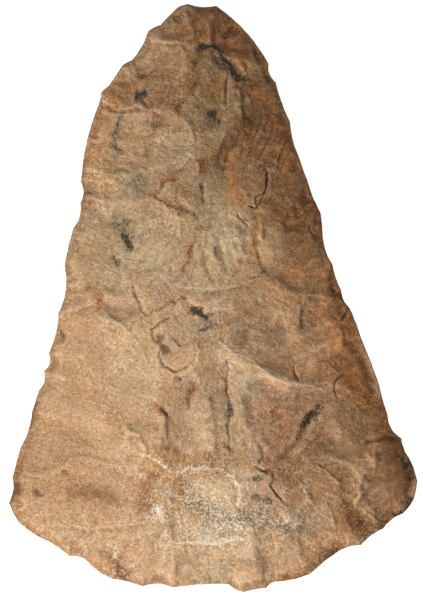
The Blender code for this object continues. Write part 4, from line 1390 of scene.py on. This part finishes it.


# %% [markdown]
# Under the tints and stains the stone also grows darker or lighter, and ruddier or greyer, by
# slow degrees: the right-hand rim is ruddier, and some facets are darker or lighter than their
# neighbours. Part of that is the stone's own tone, and part is painted shade and painted light:
# darker where a facet, wall or brow turns from the lamp at the lower left, lighter where it
# faces it. One tint for each such change would need many colours. Washes need none: they are soft
# strokes that add up, each with its change of tone and of ruddiness.

# %% Washes
# Tone and ruddiness (per cent; minus is darker, and greyer), half width (mm), places in the
# photograph. The tone is partly the stone's own and partly painted shade and painted light.
WASHES = {
    "right rim, upper": (4, 34, 3.4, ((262, 96), (274, 120), (284, 150), (296, 178))),
    "right rim, middle": (-16, 44, 2.0, ((304, 190), (317, 222), (328, 256), (341, 290), (349, 318))),
    "right rim, lower": (-14, 46, 4.0, ((340, 330), (352, 362), (364, 390), (378, 420))),
    "right corner rim": (-30, 40, 3.4, ((389, 440), (402, 468), (404, 490), (394, 508))),
    "bit rim, far right": (-52, 32, 3.2, ((386, 522), (362, 530), (350, 508))),
    "bit rim, right": (-40, 36, 2.6, ((330, 554), (306, 568), (284, 574))),
    "bit rim, left": (-56, 22, 2.6, ((104, 554), (112, 564), (130, 574))),
    "butt, right facet": (8, 40, 3.4, ((208, 20), (228, 36), (248, 58))),
    "butt, under the ridge": (-44, 30, 2.6, ((196, 58), (198, 78))),
    "butt, fresh spot": (44, 24, 2.4, ((236, 62), (250, 76))),
    "shoulder": (-36, 46, 2.8, ((112, 92), (136, 84))),
    "shoulder foot, left": (-20, 34, 2.2, ((104, 106), (130, 106))),
    "shoulder foot, right": (-42, 24, 2.6, ((148, 108), (176, 112))),
    "facet": (-30, 10, 3.0, ((150, 128), (176, 130))),
    "neck, grey spot": (36, -13, 2.2, ((214, 126), (224, 132))),
    "neck, right": (-28, 34, 3.0, ((240, 126), (246, 150), (262, 156))),
    "left rim": (-30, 32, 2.6, ((86, 170), (86, 204))),
    "left of the splinter": (-36, 18, 3.0, ((172, 176), (196, 198))),
    "orange veil": (22, 32, 3.0, ((232, 158), (238, 184), (243, 206))),
    "right side": (-22, 38, 3.4, ((278, 206), (298, 210), (286, 226))),
    "right of the fan": (30, 20, 2.6, ((258, 214), (262, 256))),
    "right side, fresher": (32, 12, 3.8, ((290, 266), (310, 274))),
    "left of the fan": (28, -12, 3.4, ((134, 250), (156, 260))),
    "under the seam": (58, -8, 2.8, ((192, 304), (226, 306))),
    "right middle, fresh": (80, 8, 3.2, ((280, 314), (292, 334))),
    "right middle, far": (56, 22, 3.4, ((320, 320), (330, 350))),
    "under the ridge": (66, -12, 3.8, ((222, 352), (248, 376), (284, 384))),
    "right of the valley": (22, -32, 3.4, ((250, 390), (262, 398))),
    "left of the valley": (46, -14, 3.0, ((196, 406), (198, 440))),
    "left field": (40, -12, 5.1, ((90, 420), (102, 446), (122, 448))),
    "left field, rim": (12, -10, 3.4, ((60, 380), (64, 412))),
    "right facet": (86, -4, 3.6, ((330, 436), (354, 462))),
    "corner facet": (126, 6, 3.4, ((366, 446), (378, 466))),
    "over the crust, left": (-22, 40, 4.2, ((160, 480), (186, 484), (180, 504))),
    "over the crust, right": (9, -9, 3.0, ((218, 482), (250, 484))),
    "bit crack, rust": (-34, 20, 3.0, ((266, 458), (288, 474))),
    "crust, foot": (-36, -2, 3.8, ((206, 506), (240, 524), (264, 514))),
    "crust, grey end": (-24, -20, 3.4, ((284, 524), (308, 524))),
    "bit, middle": (-15, -6, 3.0, ((196, 568), (270, 566))),
    "bit, left spot": (0, -14, 3.0, ((84, 520), (92, 530))),
    "butt, left": (-12, 24, 3.0, ((176, 30), (198, 28), (196, 44))),
    "neck seam": (-34, 36, 3.2, ((218, 84), (216, 92))),
    "neck, left facet": (18, 6, 2.8, ((132, 62), (152, 66))),
    "neck, right rim": (-4, 26, 3.0, ((262, 100), (280, 130), (286, 154))),
    "under the shoulder": (-14, 12, 3.0, ((150, 196), (152, 220))),
    "left edge": (-8, 16, 3.4, ((96, 172), (110, 180))),
    "under the brow": (14, 26, 3.0, ((218, 328), (246, 306), (262, 324))),
    "brow": (-16, 30, 2.4, ((262, 284), (270, 290))),
    "right brow, far": (-14, 28, 2.4, ((304, 304), (312, 310))),
    "middle, left": (18, -3, 3.0, ((126, 330), (132, 328))),
    "lens": (34, 4, 3.2, ((172, 376), (196, 350), (216, 346))),
    "inner step, left": (22, 2, 3.0, ((132, 404), (150, 418))),
    "valley, right": (24, -8, 2.4, ((240, 412), (242, 424))),
    "reddish patch": (-10, 22, 3.0, ((276, 412), (290, 412), (284, 424))),
    "dent, right": (56, 6, 3.0, ((304, 414), (324, 418))),
    "under the dent": (-20, 22, 3.0, ((176, 462), (220, 462), (242, 464))),
    "crust, left rim": (-26, 18, 3.0, ((150, 486), (152, 506))),
    "crust, upper right": (16, -8, 2.4, ((256, 484), (266, 486))),
    "right ridge, foot": (2, 30, 3.0, ((328, 372), (350, 382))),
    "over the ridge": (34, 4, 2.2, ((244, 350), (268, 364), (290, 374))),
    "right corner, edge": (-52, 26, 1.8, ((408, 464), (415, 480), (412, 496))),
    "left edge, upper": (16, 4, 2.6, ((86, 146), (86, 158))),
    "shoulder, edge": (20, 0, 2.0, ((106, 84), (112, 80))),
    "neck, over the seam": (14, 0, 2.8, ((176, 84), (196, 96))),
    "neck, right grey": (10, 0, 3.0, ((262, 170), (282, 190))),
    "crust, left top": (16, 2, 2.6, ((172, 478), (176, 486))),
    "left plane, over": (14, 0, 2.8, ((84, 456), (92, 464))),
    "right edge, upper": (14, 10, 2.0, ((326, 240), (332, 262))),
    "right edge, middle": (12, -10, 2.4, ((352, 346), (372, 368))),
    "right, under the nick": (-14, 18, 2.6, ((348, 392), (372, 396))),
    "valley, far right": (-14, -4, 3.0, ((262, 390), (286, 396))),
    "right side, grey": (-12, 16, 2.8, ((262, 190), (264, 202))),
    "corner, over the rim": (14, -8, 2.6, ((366, 482), (378, 486))),
    "over the right ridge": (58, -4, 4.4, ((312, 356), (332, 352))),
    "over the valley": (12, -8, 3.0, ((172, 284), (216, 284))),
    "right nick, over": (14, -12, 2.4, ((366, 330), (374, 372))),
    "neck, low right": (24, 0, 2.8, ((192, 148), (198, 156))),
    "grey patch": (-12, -12, 2.6, ((140, 178), (144, 190))),
    "neck, middle": (-24, 22, 3.0, ((220, 156), (234, 140), (240, 128))),
    "neck, right of the cracks": (-2, 16, 3.0, ((262, 128), (262, 196))),
    "right side, pale": (28, 6, 3.0, ((304, 244), (308, 262))),
    "inner foot, red": (0, 18, 2.8, ((170, 458), (198, 462))),
    "left of the crust, red": (-26, 22, 2.6, ((146, 500), (152, 506))),
    "crust, middle": (-28, 12, 3.0, ((192, 480), (196, 500))),
    "bit, right grey": (8, -18, 3.4, ((300, 506), (328, 526))),
    "bit, dark facet": (-20, 8, 2.4, ((346, 524), (356, 530))),
    "under the facet": (16, -8, 3.0, ((328, 462), (350, 458))),
    "crack's end": (-14, 4, 2.4, ((282, 458), (286, 464))),
    "corner, red": (-10, 24, 2.6, ((376, 438), (398, 442))),
    "right rim, over the corner": (-14, 24, 2.4, ((378, 396), (386, 410))),
    "orange ridge": (-16, 28, 1.8, ((248, 226), (251, 242), (256, 256), (265, 267))),
    "ridge, over": (12, 8, 3.2, ((280, 356), (306, 372))),
    "butt, middle": (-12, 16, 3.0, ((192, 16), (194, 40), (176, 44))),
    "neck, top": (2, 16, 3.0, ((214, 84), (240, 90))),
    "left side, upper": (-8, 14, 3.4, ((106, 112), (106, 150), (108, 176))),
    "fresh scar, left": (-16, 10, 3.0, ((150, 124), (152, 138))),
    "left of the fan, low": (2, -14, 3.4, ((152, 262), (160, 282), (218, 286))),
    "lower middle": (10, -8, 4.0, ((130, 380), (172, 396), (196, 436))),
    "crust, right haze": (-10, 2, 3.4, ((262, 504), (286, 526))),
    "right side, redder": (4, 16, 3.0, ((282, 238), (306, 238))),
    "right rim, over the brow": (26, 20, 2.6, ((322, 278), (330, 308))),
    "right facet, low": (-16, 2, 3.0, ((346, 480), (350, 504))),
    "bit rim, right facet": (-12, 24, 2.6, ((300, 552), (312, 544))),
    "left blot, ground": (14, 0, 3.0, ((128, 232), (132, 244))),
    "left field, middle": (-10, 0, 3.4, ((84, 414), (88, 420))),
    "fan's right": (14, 0, 2.4, ((262, 214), (284, 282))),
    "bit's left foot": (-14, 0, 2.4, ((62, 546), (68, 548))),
    "right rim, red": (-20, 36, 2.2, ((369, 376), (376, 398))),
    "right facet's foot": (-18, 28, 2.4, ((344, 530), (356, 524))),
    "beside the lens": (14, -4, 3.2, ((284, 288), (286, 328))),
    "crust foot, right": (-16, -4, 2.4, ((236, 524), (248, 530))),
    "brown seam": (-18, 30, 1.3, ((199, 80), (190, 91), (182, 101), (174, 111))),
    "brow, ruddy": (6, 16, 2.2, ((270, 278), (286, 289), (302, 296))),
    "right rim, edge": (-34, 30, 0.9, (
        (315, 203), (320, 216), (322, 236), (326, 256), (334, 276), (342, 298))),
    # Painted shade beside the neck wall, and painted light on its brow
    "neck wall, shade": (-20, 0, 2.4, ((231, 137), (224, 145), (219, 154), (217, 164))),
    "neck wall, brow": (14, -4, 2.0, ((230, 122), (217, 136), (208, 152))),
    "wedge by the ripples": (-26, 8, 1.7, ((247, 211), (248, 223))),
    "ridge, over the smear": (-14, -4, 2.4, ((256, 387), (280, 396))),
    "smear's foot": (-18, 16, 3.0, ((80, 502), (92, 506))),
    "bit, right of the left": (-18, 14, 2.8, ((174, 540), (174, 556))),
    "left of the crust": (22, 4, 2.8, ((140, 458), (154, 462))),
    "neck, grey": (8, 0, 4.0, ((222, 96), (214, 150))),
    "left corner": (-11, 22, 2.2, ((18, 468), (14, 500))),
}
RIM_BAND = 1.6 * MM          # the whole rim holds more dirt and iron, in a band this wide
RIM_TONE, RIM_RUDDY = -0.10, 0.10


def wash_layers(points):
    """The summed change of tone, which is partly painted shade and light, and of ruddiness at each point."""
    layers = {"tone": np.zeros(len(points)), "ruddy": np.zeros(len(points))}
    for tone, ruddy, half, places in WASHES.values():
        cover = np.exp(-HALF_FALL * (beside(points, route(places))[0] / (half * MM))**2)
        layers["tone"] += tone / 100 * cover
        layers["ruddy"] += ruddy / 100 * cover
    worn = np.exp(-(gap_to(edge_tree, points) / RIM_BAND)**2)
    layers["tone"] += RIM_TONE * worn
    layers["ruddy"] += RIM_RUDDY * worn
    return layers


counts = [sum(len(rows) for rows in table.values()) for table in (TINTS, STAINS)]
print(f"{counts[0]} patches of tint, {counts[1]} stains and {len(WASHES)} washes")

# %% [markdown]
# Arrises are made paler and hollows darker: wear and dirt, and with them a painted highlight on
# the arrises and painted shade in the hollows. Both come from the shape itself: a corner that
# stands above the mean of its neighbourhood is a crest, and one below it is a hollow.

# %% Layers onto the mesh
# Mean, swing and most of each chance layer on the belly, and the size of its patches (mm)
BELLY_PATCHES = {
    "brown": (0.5, 0.7, 1, 45), "olive": (0.3, 0.6, 1, 38), "warm": (0.3, 0.6, 1, 50),
    "charcoal": (-1.2, 2.2, 0.9, 15), "rust": (-1.3, 2.2, 0.8, 11), "chalk": (-1.3, 2.0, 0.6, 22)}


def crest_and_hollow(mesh, rounds=10, full=0.10 * MM):
    """How far each corner stands over, and lies under, its neighbourhood."""
    place_of = np.zeros(len(mesh.vertices) * 3)
    mesh.vertices.foreach_get("co", place_of)
    level = place_of.reshape(-1, 3)[:, 2]
    ends = np.zeros(len(mesh.edges) * 2, dtype=int)
    mesh.edges.foreach_get("vertices", ends)
    first, second = ends.reshape(-1, 2).T
    count = np.bincount(first, minlength=len(level)) + np.bincount(second, minlength=len(level))
    mean = level
    for _ in range(rounds):
        total = np.bincount(first, mean[second], len(level)) + np.bincount(second, mean[first], len(level))
        mean = 0.5 * mean + 0.5 * total / count
    above = (level - mean) * np.where(face_of < 0, -1, 1) / full
    above[face_of == 0] = 0
    return np.clip(above, 0, 1), np.clip(-above, 0, 1)


def paint(mesh):
    """Writes every layer onto the mesh's corners."""
    upper = face_of > -0.5
    tints = tint_layers(drifted(plan[upper]))
    stains = stain_layers(ruffled(plan[upper]))
    layers = {}
    for name in COLOUR_LAYERS:
        layers[name] = np.zeros(len(plan))
        layers[name][upper] = np.maximum(tints.get(name, 0), stains[name])
    for number, (name, (mean, swing, most, wave)) in enumerate(BELLY_PATCHES.items()):
        patches = mean + swing * rough(plan[~upper], wave * MM, 80.0 + number)
        layers[name][~upper] = np.clip(patches, 0, most)
    for name, values in wash_layers(drifted(plan[upper])).items():
        layers[name] = np.zeros(len(plan))
        layers[name][upper] = values
    layers["crest"], layers["hollow"] = crest_and_hollow(mesh)
    for name in ("ray", "reach", "clear"):
        layers[name] = np.zeros(len(plan))
    for part, flakes in ((upper, face_flakes()), (~upper, belly_flakes())):
        layers["ray"][part], layers["reach"][part], _, layers["clear"][part] = scar_rays(plan[part], flakes)
    for name, values in layers.items():
        mesh.attributes.new(name, "FLOAT", "POINT").data.foreach_set("value", values)
    return layers


painted = paint(blade.data)
for name in COLOUR_LAYERS:
    print(f"{name:8s} has a mean strength of {painted[name].mean():.3f}")

# %% [markdown]
# ## Ragged rims and grain
# A painted layer fades evenly at its rim, and no real stain does. The first group breaks a layer
# up: where there is any of it, it adds grain to its number and then cuts it off, softly or
# sharply. The second group holds the stone's own grain: slow swings of hue, mottling, grit,
# specks and crystals under a millimetre, streaks along each scar's rays, and hackles, the fine
# steps that a flake leaves along them. It gives them out one by one, and all together as height.

# %% Shader groups
# Size (mm), detail, roughness and layer of each kind of chance grain
GRAINS = {
    "Hue": (13, 5.0, 0.68, 6.0),
    "Tinge": (1.5, 3.0, 0.7, 8.0),
    "Mottle": (10, 2.0, 0.5, 1.0),
    "Grain": (1.7, 3.0, 0.65, 2.0),
    "Specks": (0.8, 2.0, 0.75, 3.0),
}
STREAK_WIDTH, STREAK_DRAW = 0.95, 0.22         # mm, and how far the noise is drawn out along rays
HACKLE_WIDTH, HACKLE_DRAW = 3.4, 0.45
HACKLE_STEPS, HACKLE_RISE = 8.0, (0.36, 0.64)  # steps in the noise, and the part that each rises in
CRYSTAL_SIZE = 0.8 * MM


def painted_layer(tree, name):
    """A painted layer's number."""
    return add(tree, "ShaderNodeAttribute", attribute_name=name).outputs["Fac"]


def chance_grain(tree, where, size, detail, roughness, layer):
    """Noise round zero with features of a given size in mm."""
    scale = 1 / (size * MM)
    inputs = {"Vector": where, "W": layer, "Scale": scale, "Detail": detail, "Roughness": roughness}
    made = add(tree, "ShaderNodeTexNoise", inputs, noise_dimensions="4D").outputs[0]
    return calc(tree, "SUBTRACT", made, 0.5)


def ragged_group():
    """Breaks up the rim of a painted layer."""
    tree = bpy.data.node_groups.new("ragged rim", "ShaderNodeTree")
    for name, value in (("Layer", 0.0), ("Raggedness", 0.5), ("Softness", 0.2), ("Grain", 0.0)):
        socket(tree, name, "Float", value)
    socket(tree, "Mask", "Float", out=True)
    given = add(tree, "NodeGroupInput").outputs
    near = calc(tree, "MULTIPLY", given["Layer"], 4.0, clamp=True)
    broken = product(tree, given["Grain"], product(tree, given["Raggedness"], near))
    broken = calc(tree, "ADD", broken, given["Layer"])
    edge = calc(tree, "SUBTRACT", broken, calc(tree, "SUBTRACT", 0.5, given["Softness"]))
    mask = calc(tree, "DIVIDE", edge, product(tree, given["Softness"], 2.0), clamp=True)
    add(tree, "NodeGroupOutput", {"Mask": mask})
    return tree


def stone_grain_group():
    """The stone's own grain."""
    tree = bpy.data.node_groups.new("stone grain", "ShaderNodeTree")
    where = add(tree, "ShaderNodeTexCoord").outputs["Object"]
    grain = {name: chance_grain(tree, where, *values) for name, values in GRAINS.items()}
    ray, reach, clear = [painted_layer(tree, name) for name in ("ray", "reach", "clear")]

    def drawn_out(share):
        inputs = {"X": ray, "Y": product(tree, reach, share)}
        return add(tree, "ShaderNodeCombineXYZ", inputs).outputs[0]

    streaks = chance_grain(tree, drawn_out(STREAK_DRAW), STREAK_WIDTH, 3.0, 0.65, 5.0)
    grain["Streaks"] = product(tree, streaks, clear)
    cells = add(tree, "ShaderNodeTexVoronoi", {"Vector": where, "Scale": 1 / CRYSTAL_SIZE}).outputs
    crystals = add(tree, "ShaderNodeSeparateColor", {0: cells["Color"]}).outputs[0]
    grain["Crystals"] = calc(tree, "SUBTRACT", crystals, 0.5)
    level = chance_grain(tree, drawn_out(HACKLE_DRAW), HACKLE_WIDTH, 3.0, 0.68, 9.0)
    level = product(tree, level, HACKLE_STEPS)
    first, last = HACKLE_RISE
    inputs = {"Value": calc(tree, "FRACT", level), "From Min": first, "From Max": last}
    rise = add(tree, "ShaderNodeMapRange", inputs, interpolation_type="SMOOTHSTEP").outputs[0]
    hackles = product(tree, calc(tree, "ADD", calc(tree, "FLOOR", level), rise), clear)
    grain["Height"] = summed(
        tree, 0.0, (grain["Grain"], 0.8), (grain["Specks"], 0.5), (hackles, 0.08),
        (grain["Streaks"], 0.3), (cells["Distance"], -0.25))
    for name in grain:
        socket(tree, name, "Float", out=True)
    add(tree, "NodeGroupOutput", grain)
    return tree


RAGGED_RIM = ragged_group()
STONE_GRAIN = stone_grain_group()
print(f"two shader groups, of {len(RAGGED_RIM.nodes)} and {len(STONE_GRAIN.nodes)} nodes")

# %% [markdown]
# ## The weathered stone
# The finish starts from one tan and lays the tints over it, then darker hollows and paler crests,
# which are dirt and wear together with painted shade and a painted highlight, then the washes,
# whose tone is partly painted shade and light, and the stone's specks with painted glints on its
# crystals, and last the stains, with the chalky crust on top because it grew there.
# Grain modulates all of it. The stone is matt all over.

# %% Finish of the stone
TAN = (0.410, 0.245, 0.123, 1)
WARM_TAN = (0.440, 0.232, 0.104, 1)
COOL_TAN = (0.375, 0.262, 0.158, 1)
# Mixed into hollows and onto crests: dirt and wear, with painted shade in the hollows and a painted highlight
# on the crests
HOLLOW_DIRT_AND_SHADE = (0.20, 0.105, 0.052, 1)
CREST_WEAR_AND_HIGHLIGHT = (0.56, 0.38, 0.22, 1)
DARK_SPECK = (0.62, 0.48, 0.38, 1)             # multiplied with the colour below it
LIGHT_SPECK = (0.68, 0.50, 0.34, 1)
# A painted glint: pale colour where clear crystals would catch the light
SUGARY_GLINT = (0.74, 0.60, 0.45, 1)                 # clear crystals that catch the light
RUDDY_CAST = (0.40, -0.10, -0.60)              # what ruddiness adds to red, green and blue
ROUGHNESS, SHEEN, BUMP_DEPTH = 0.82, 0.15, 0.42 * MM
TINT_COLOURS = {
    "warm": (0.440, 0.250, 0.118, 1),
    "rosy": (0.412, 0.228, 0.130, 1),
    "pale": (0.540, 0.385, 0.212, 1),
    "olive": (0.335, 0.238, 0.128, 1),
    "russet": (0.445, 0.212, 0.088, 1),
    "brown": (0.266, 0.130, 0.053, 1),
    "sage": (0.300, 0.214, 0.100, 1),
}
STAIN_COLOURS = (
    # Layer, colour, raggedness and softness of its rim, and how well it covers
    ("umber", (0.100, 0.045, 0.020, 1), 1.8, 0.34, 0.88),
    ("rust", (0.400, 0.165, 0.066, 1), 2.4, 0.42, 0.56),
    ("rust", (0.200, 0.052, 0.019, 1), 5.2, 0.22, 0.84),
    ("charcoal", (0.175, 0.135, 0.090, 1), 1.2, 0.50, 0.70),
    ("charcoal", (0.036, 0.028, 0.020, 1), 2.8, 0.26, 0.92),
    ("chalk", (0.640, 0.540, 0.410, 1), 3.4, 0.34, 0.88),
)


def finish_stone(material):
    """Builds the stone's finish."""
    material.use_nodes = True
    tree = material.node_tree
    shader = tree.nodes["Principled BSDF"]
    grain = add(tree, "ShaderNodeGroup", node_tree=STONE_GRAIN).outputs
    hue, mottle, specks, crystals = [grain[name] for name in ("Hue", "Mottle", "Specks", "Crystals")]

    def ragged(name, raggedness, softness, rough_by):
        inputs = {
            "Layer": painted_layer(tree, name), "Raggedness": raggedness, "Softness": softness,
            "Grain": rough_by}
        return add(tree, "ShaderNodeGroup", inputs, node_tree=RAGGED_RIM).outputs["Mask"]

    def above(value, least, steepness=9.0):
        """Nothing up to a least value, and soon one above it; with minus signs, below it."""
        return calc(tree, "MULTIPLY", calc(tree, "SUBTRACT", value, least), steepness, clamp=True)

    def times(colour, channels):
        factors = add(tree, "ShaderNodeCombineColor", dict(enumerate(channels))).outputs[0]
        return mixed(tree, 1.0, colour, factors, "MULTIPLY")

    grit = summed(tree, grain["Grain"], (specks, 0.8), (grain["Streaks"], 0.3), (crystals, 0.12))
    patches = summed(tree, mottle, (grit, 0.4))
    colour = mixed(tree, calc(tree, "MULTIPLY", hue, 2.5, clamp=True), TAN, WARM_TAN)
    colour = mixed(tree, calc(tree, "MULTIPLY", hue, -2.5, clamp=True), colour, COOL_TAN)
    shares = {name: ragged(name, 0.8, 0.5, patches) for name in TINT_COLOURS}
    for name, tint in TINT_COLOURS.items():
        colour = mixed(tree, shares[name], colour, tint)
    # Hollows darker and crests paler: dirt and wear, together with painted shade and a painted highlight
    for name, share, dirt_wear_and_shading in (("hollow", 0.45, HOLLOW_DIRT_AND_SHADE), ("crest", 0.40, CREST_WEAR_AND_HIGHLIGHT)):
        colour = mixed(tree, product(tree, painted_layer(tree, name), share), colour, dirt_wear_and_shading)
    tone = summed(
        tree, 1.0, (mottle, 0.15), (grain["Grain"], 0.28), (specks, 0.80),
        (product(tree, specks, shares["brown"]), 1.1), (crystals, 0.22), (grain["Streaks"], 0.14))
    # The washes' tone, which is partly painted shade and painted light
    tone = calc(tree, "ADD", tone, painted_layer(tree, "tone"))
    colour = times(colour, (tone, tone, tone))
    swing = summed(tree, product(tree, hue, 0.5), (grain["Tinge"], 0.6))
    swing = calc(tree, "ADD", swing, painted_layer(tree, "ruddy"))
    colour = times(colour, [summed(tree, 1.0, (swing, part)) for part in RUDDY_CAST])
    dark = above(specks, -0.07, -9.0)
    colour = mixed(tree, product(tree, dark, 0.75), colour, DARK_SPECK, "MULTIPLY")
    light = above(specks, 0.08)
    colour = mixed(tree, product(tree, light, 0.40), colour, LIGHT_SPECK)
    # Painted glints where clear crystals would catch the light, fewer on the brown
    crystal_glints = above(summed(tree, crystals, (mottle, 0.8)), 0.38)
    bare = summed(tree, 0.26, (shares["brown"], -0.24))
    colour = mixed(tree, product(tree, crystal_glints, bare), colour, SUGARY_GLINT)
    fine = summed(tree, product(tree, specks, 1.3), (grain["Grain"], 0.5), (crystals, 0.10))
    for name, stain, raggedness, softness, cover in STAIN_COLOURS:
        share = product(tree, ragged(name, raggedness, softness, fine), cover)
        colour = mixed(tree, share, colour, stain)
    tree.links.new(colour, shader.inputs["Base Color"])
    shader.inputs["Roughness"].default_value = ROUGHNESS
    shader.inputs["Specular IOR Level"].default_value = SHEEN
    inputs = {"Height": grain["Height"], "Strength": 1.0, "Distance": BUMP_DEPTH}
    tree.links.new(add(tree, "ShaderNodeBump", inputs).outputs[0], shader.inputs["Normal"])


finish_stone(stone)
print(f"the stone's finish has {len(stone.node_tree.nodes)} nodes")

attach(blade, "root")
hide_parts("stone_spade")

# %% [markdown]
# ## Floor, light and camera
# The photograph was taken from straight above on a white ground, with one large lamp low at the
# lower left. The floor glows a little, because a lit one would turn grey away from the lamp.

# %% Floor
FLOOR_SIZE = 3.0
FLOOR_GREY, FLOOR_GLOW = 0.5, 0.90


def make_floor():
    """A plain white floor under the blade."""
    mesh = bpy.data.meshes.new("floor")
    half = FLOOR_SIZE / 2
    corners = [(-half, -half, 0), (half, -half, 0), (half, half, 0), (-half, half, 0)]
    mesh.from_pydata(corners, [], [(0, 1, 2, 3)])
    floor = bpy.data.objects.new("floor", mesh)
    bpy.context.scene.collection.objects.link(floor)
    paper = bpy.data.materials.new("white_paper")
    paper.use_nodes = True
    inputs = paper.node_tree.nodes["Principled BSDF"].inputs
    inputs["Base Color"].default_value = (FLOOR_GREY, FLOOR_GREY, FLOOR_GREY, 1)
    inputs["Roughness"].default_value = 0.9
    inputs["Emission Color"].default_value = (1, 1, 1, 1)
    inputs["Emission Strength"].default_value = FLOOR_GLOW
    mesh.materials.append(paper)


make_floor()
print(f"a white floor, {FLOOR_SIZE} m wide")

# %% Light
KEY_AZIMUTH, KEY_HEIGHT = 226, 36    # degrees: anticlockwise from +X, and up from the floor
KEY_DISTANCE, KEY_SIZE, KEY_POWER = 0.95, 0.32, 11.8
ROOM_LIGHT = 0.27


def make_light():
    """A soft square lamp that looks at the blade, in a dim white room."""
    light = bpy.data.lights.new("key", "AREA")
    light.shape = "SQUARE"
    light.size = KEY_SIZE
    light.energy = KEY_POWER
    lamp = bpy.data.objects.new("key", light)
    turn, rise = math.radians(KEY_AZIMUTH), math.radians(KEY_HEIGHT)
    away = Vector((math.cos(turn) * math.cos(rise), math.sin(turn) * math.cos(rise), math.sin(rise)))
    lamp.location = away * KEY_DISTANCE
    lamp.rotation_euler = away.to_track_quat("Z", "Y").to_euler()
    bpy.context.scene.collection.objects.link(lamp)
    world = bpy.data.worlds.new("studio")
    bpy.context.scene.world = world
    world.use_nodes = True
    inputs = world.node_tree.nodes["Background"].inputs
    inputs["Color"].default_value = (1, 1, 1, 1)
    inputs["Strength"].default_value = ROOM_LIGHT


make_light()
print(f"the lamp stands {KEY_DISTANCE} m away, {KEY_HEIGHT} degrees up")

# %% Camera
PHOTO_WIDTH, PHOTO_HEIGHT = 423, 600
CAMERA_DISTANCE = 2.2
SENSOR = 36.0


def make_camera():
    """Looks straight down. The blade's outline fills the frame as it does in the photograph."""
    data = bpy.data.cameras.new("camera")
    camera = bpy.data.objects.new("camera", data)
    data.sensor_fit = "VERTICAL"
    data.sensor_height = SENSOR
    frame_height = LENGTH * PHOTO_HEIGHT / (PHOTO_BOTTOM - PHOTO_TOP)
    data.lens = SENSOR * CAMERA_DISTANCE / frame_height
    pixel = frame_height / PHOTO_HEIGHT
    x = (PHOTO_WIDTH / 2 - (PHOTO_LEFT + PHOTO_RIGHT) / 2) * pixel
    y = ((PHOTO_TOP + PHOTO_BOTTOM) / 2 - PHOTO_HEIGHT / 2) * pixel
    camera.location = (x, y, BELLY_DROP + CAMERA_DISTANCE)
    bpy.context.scene.collection.objects.link(camera)
    bpy.context.scene.camera = camera
    print(f"the camera hangs {CAMERA_DISTANCE} m over the blade, with a {data.lens:.0f} mm lens")


make_camera()
bpy.context.scene.view_settings.view_transform = "Standard"
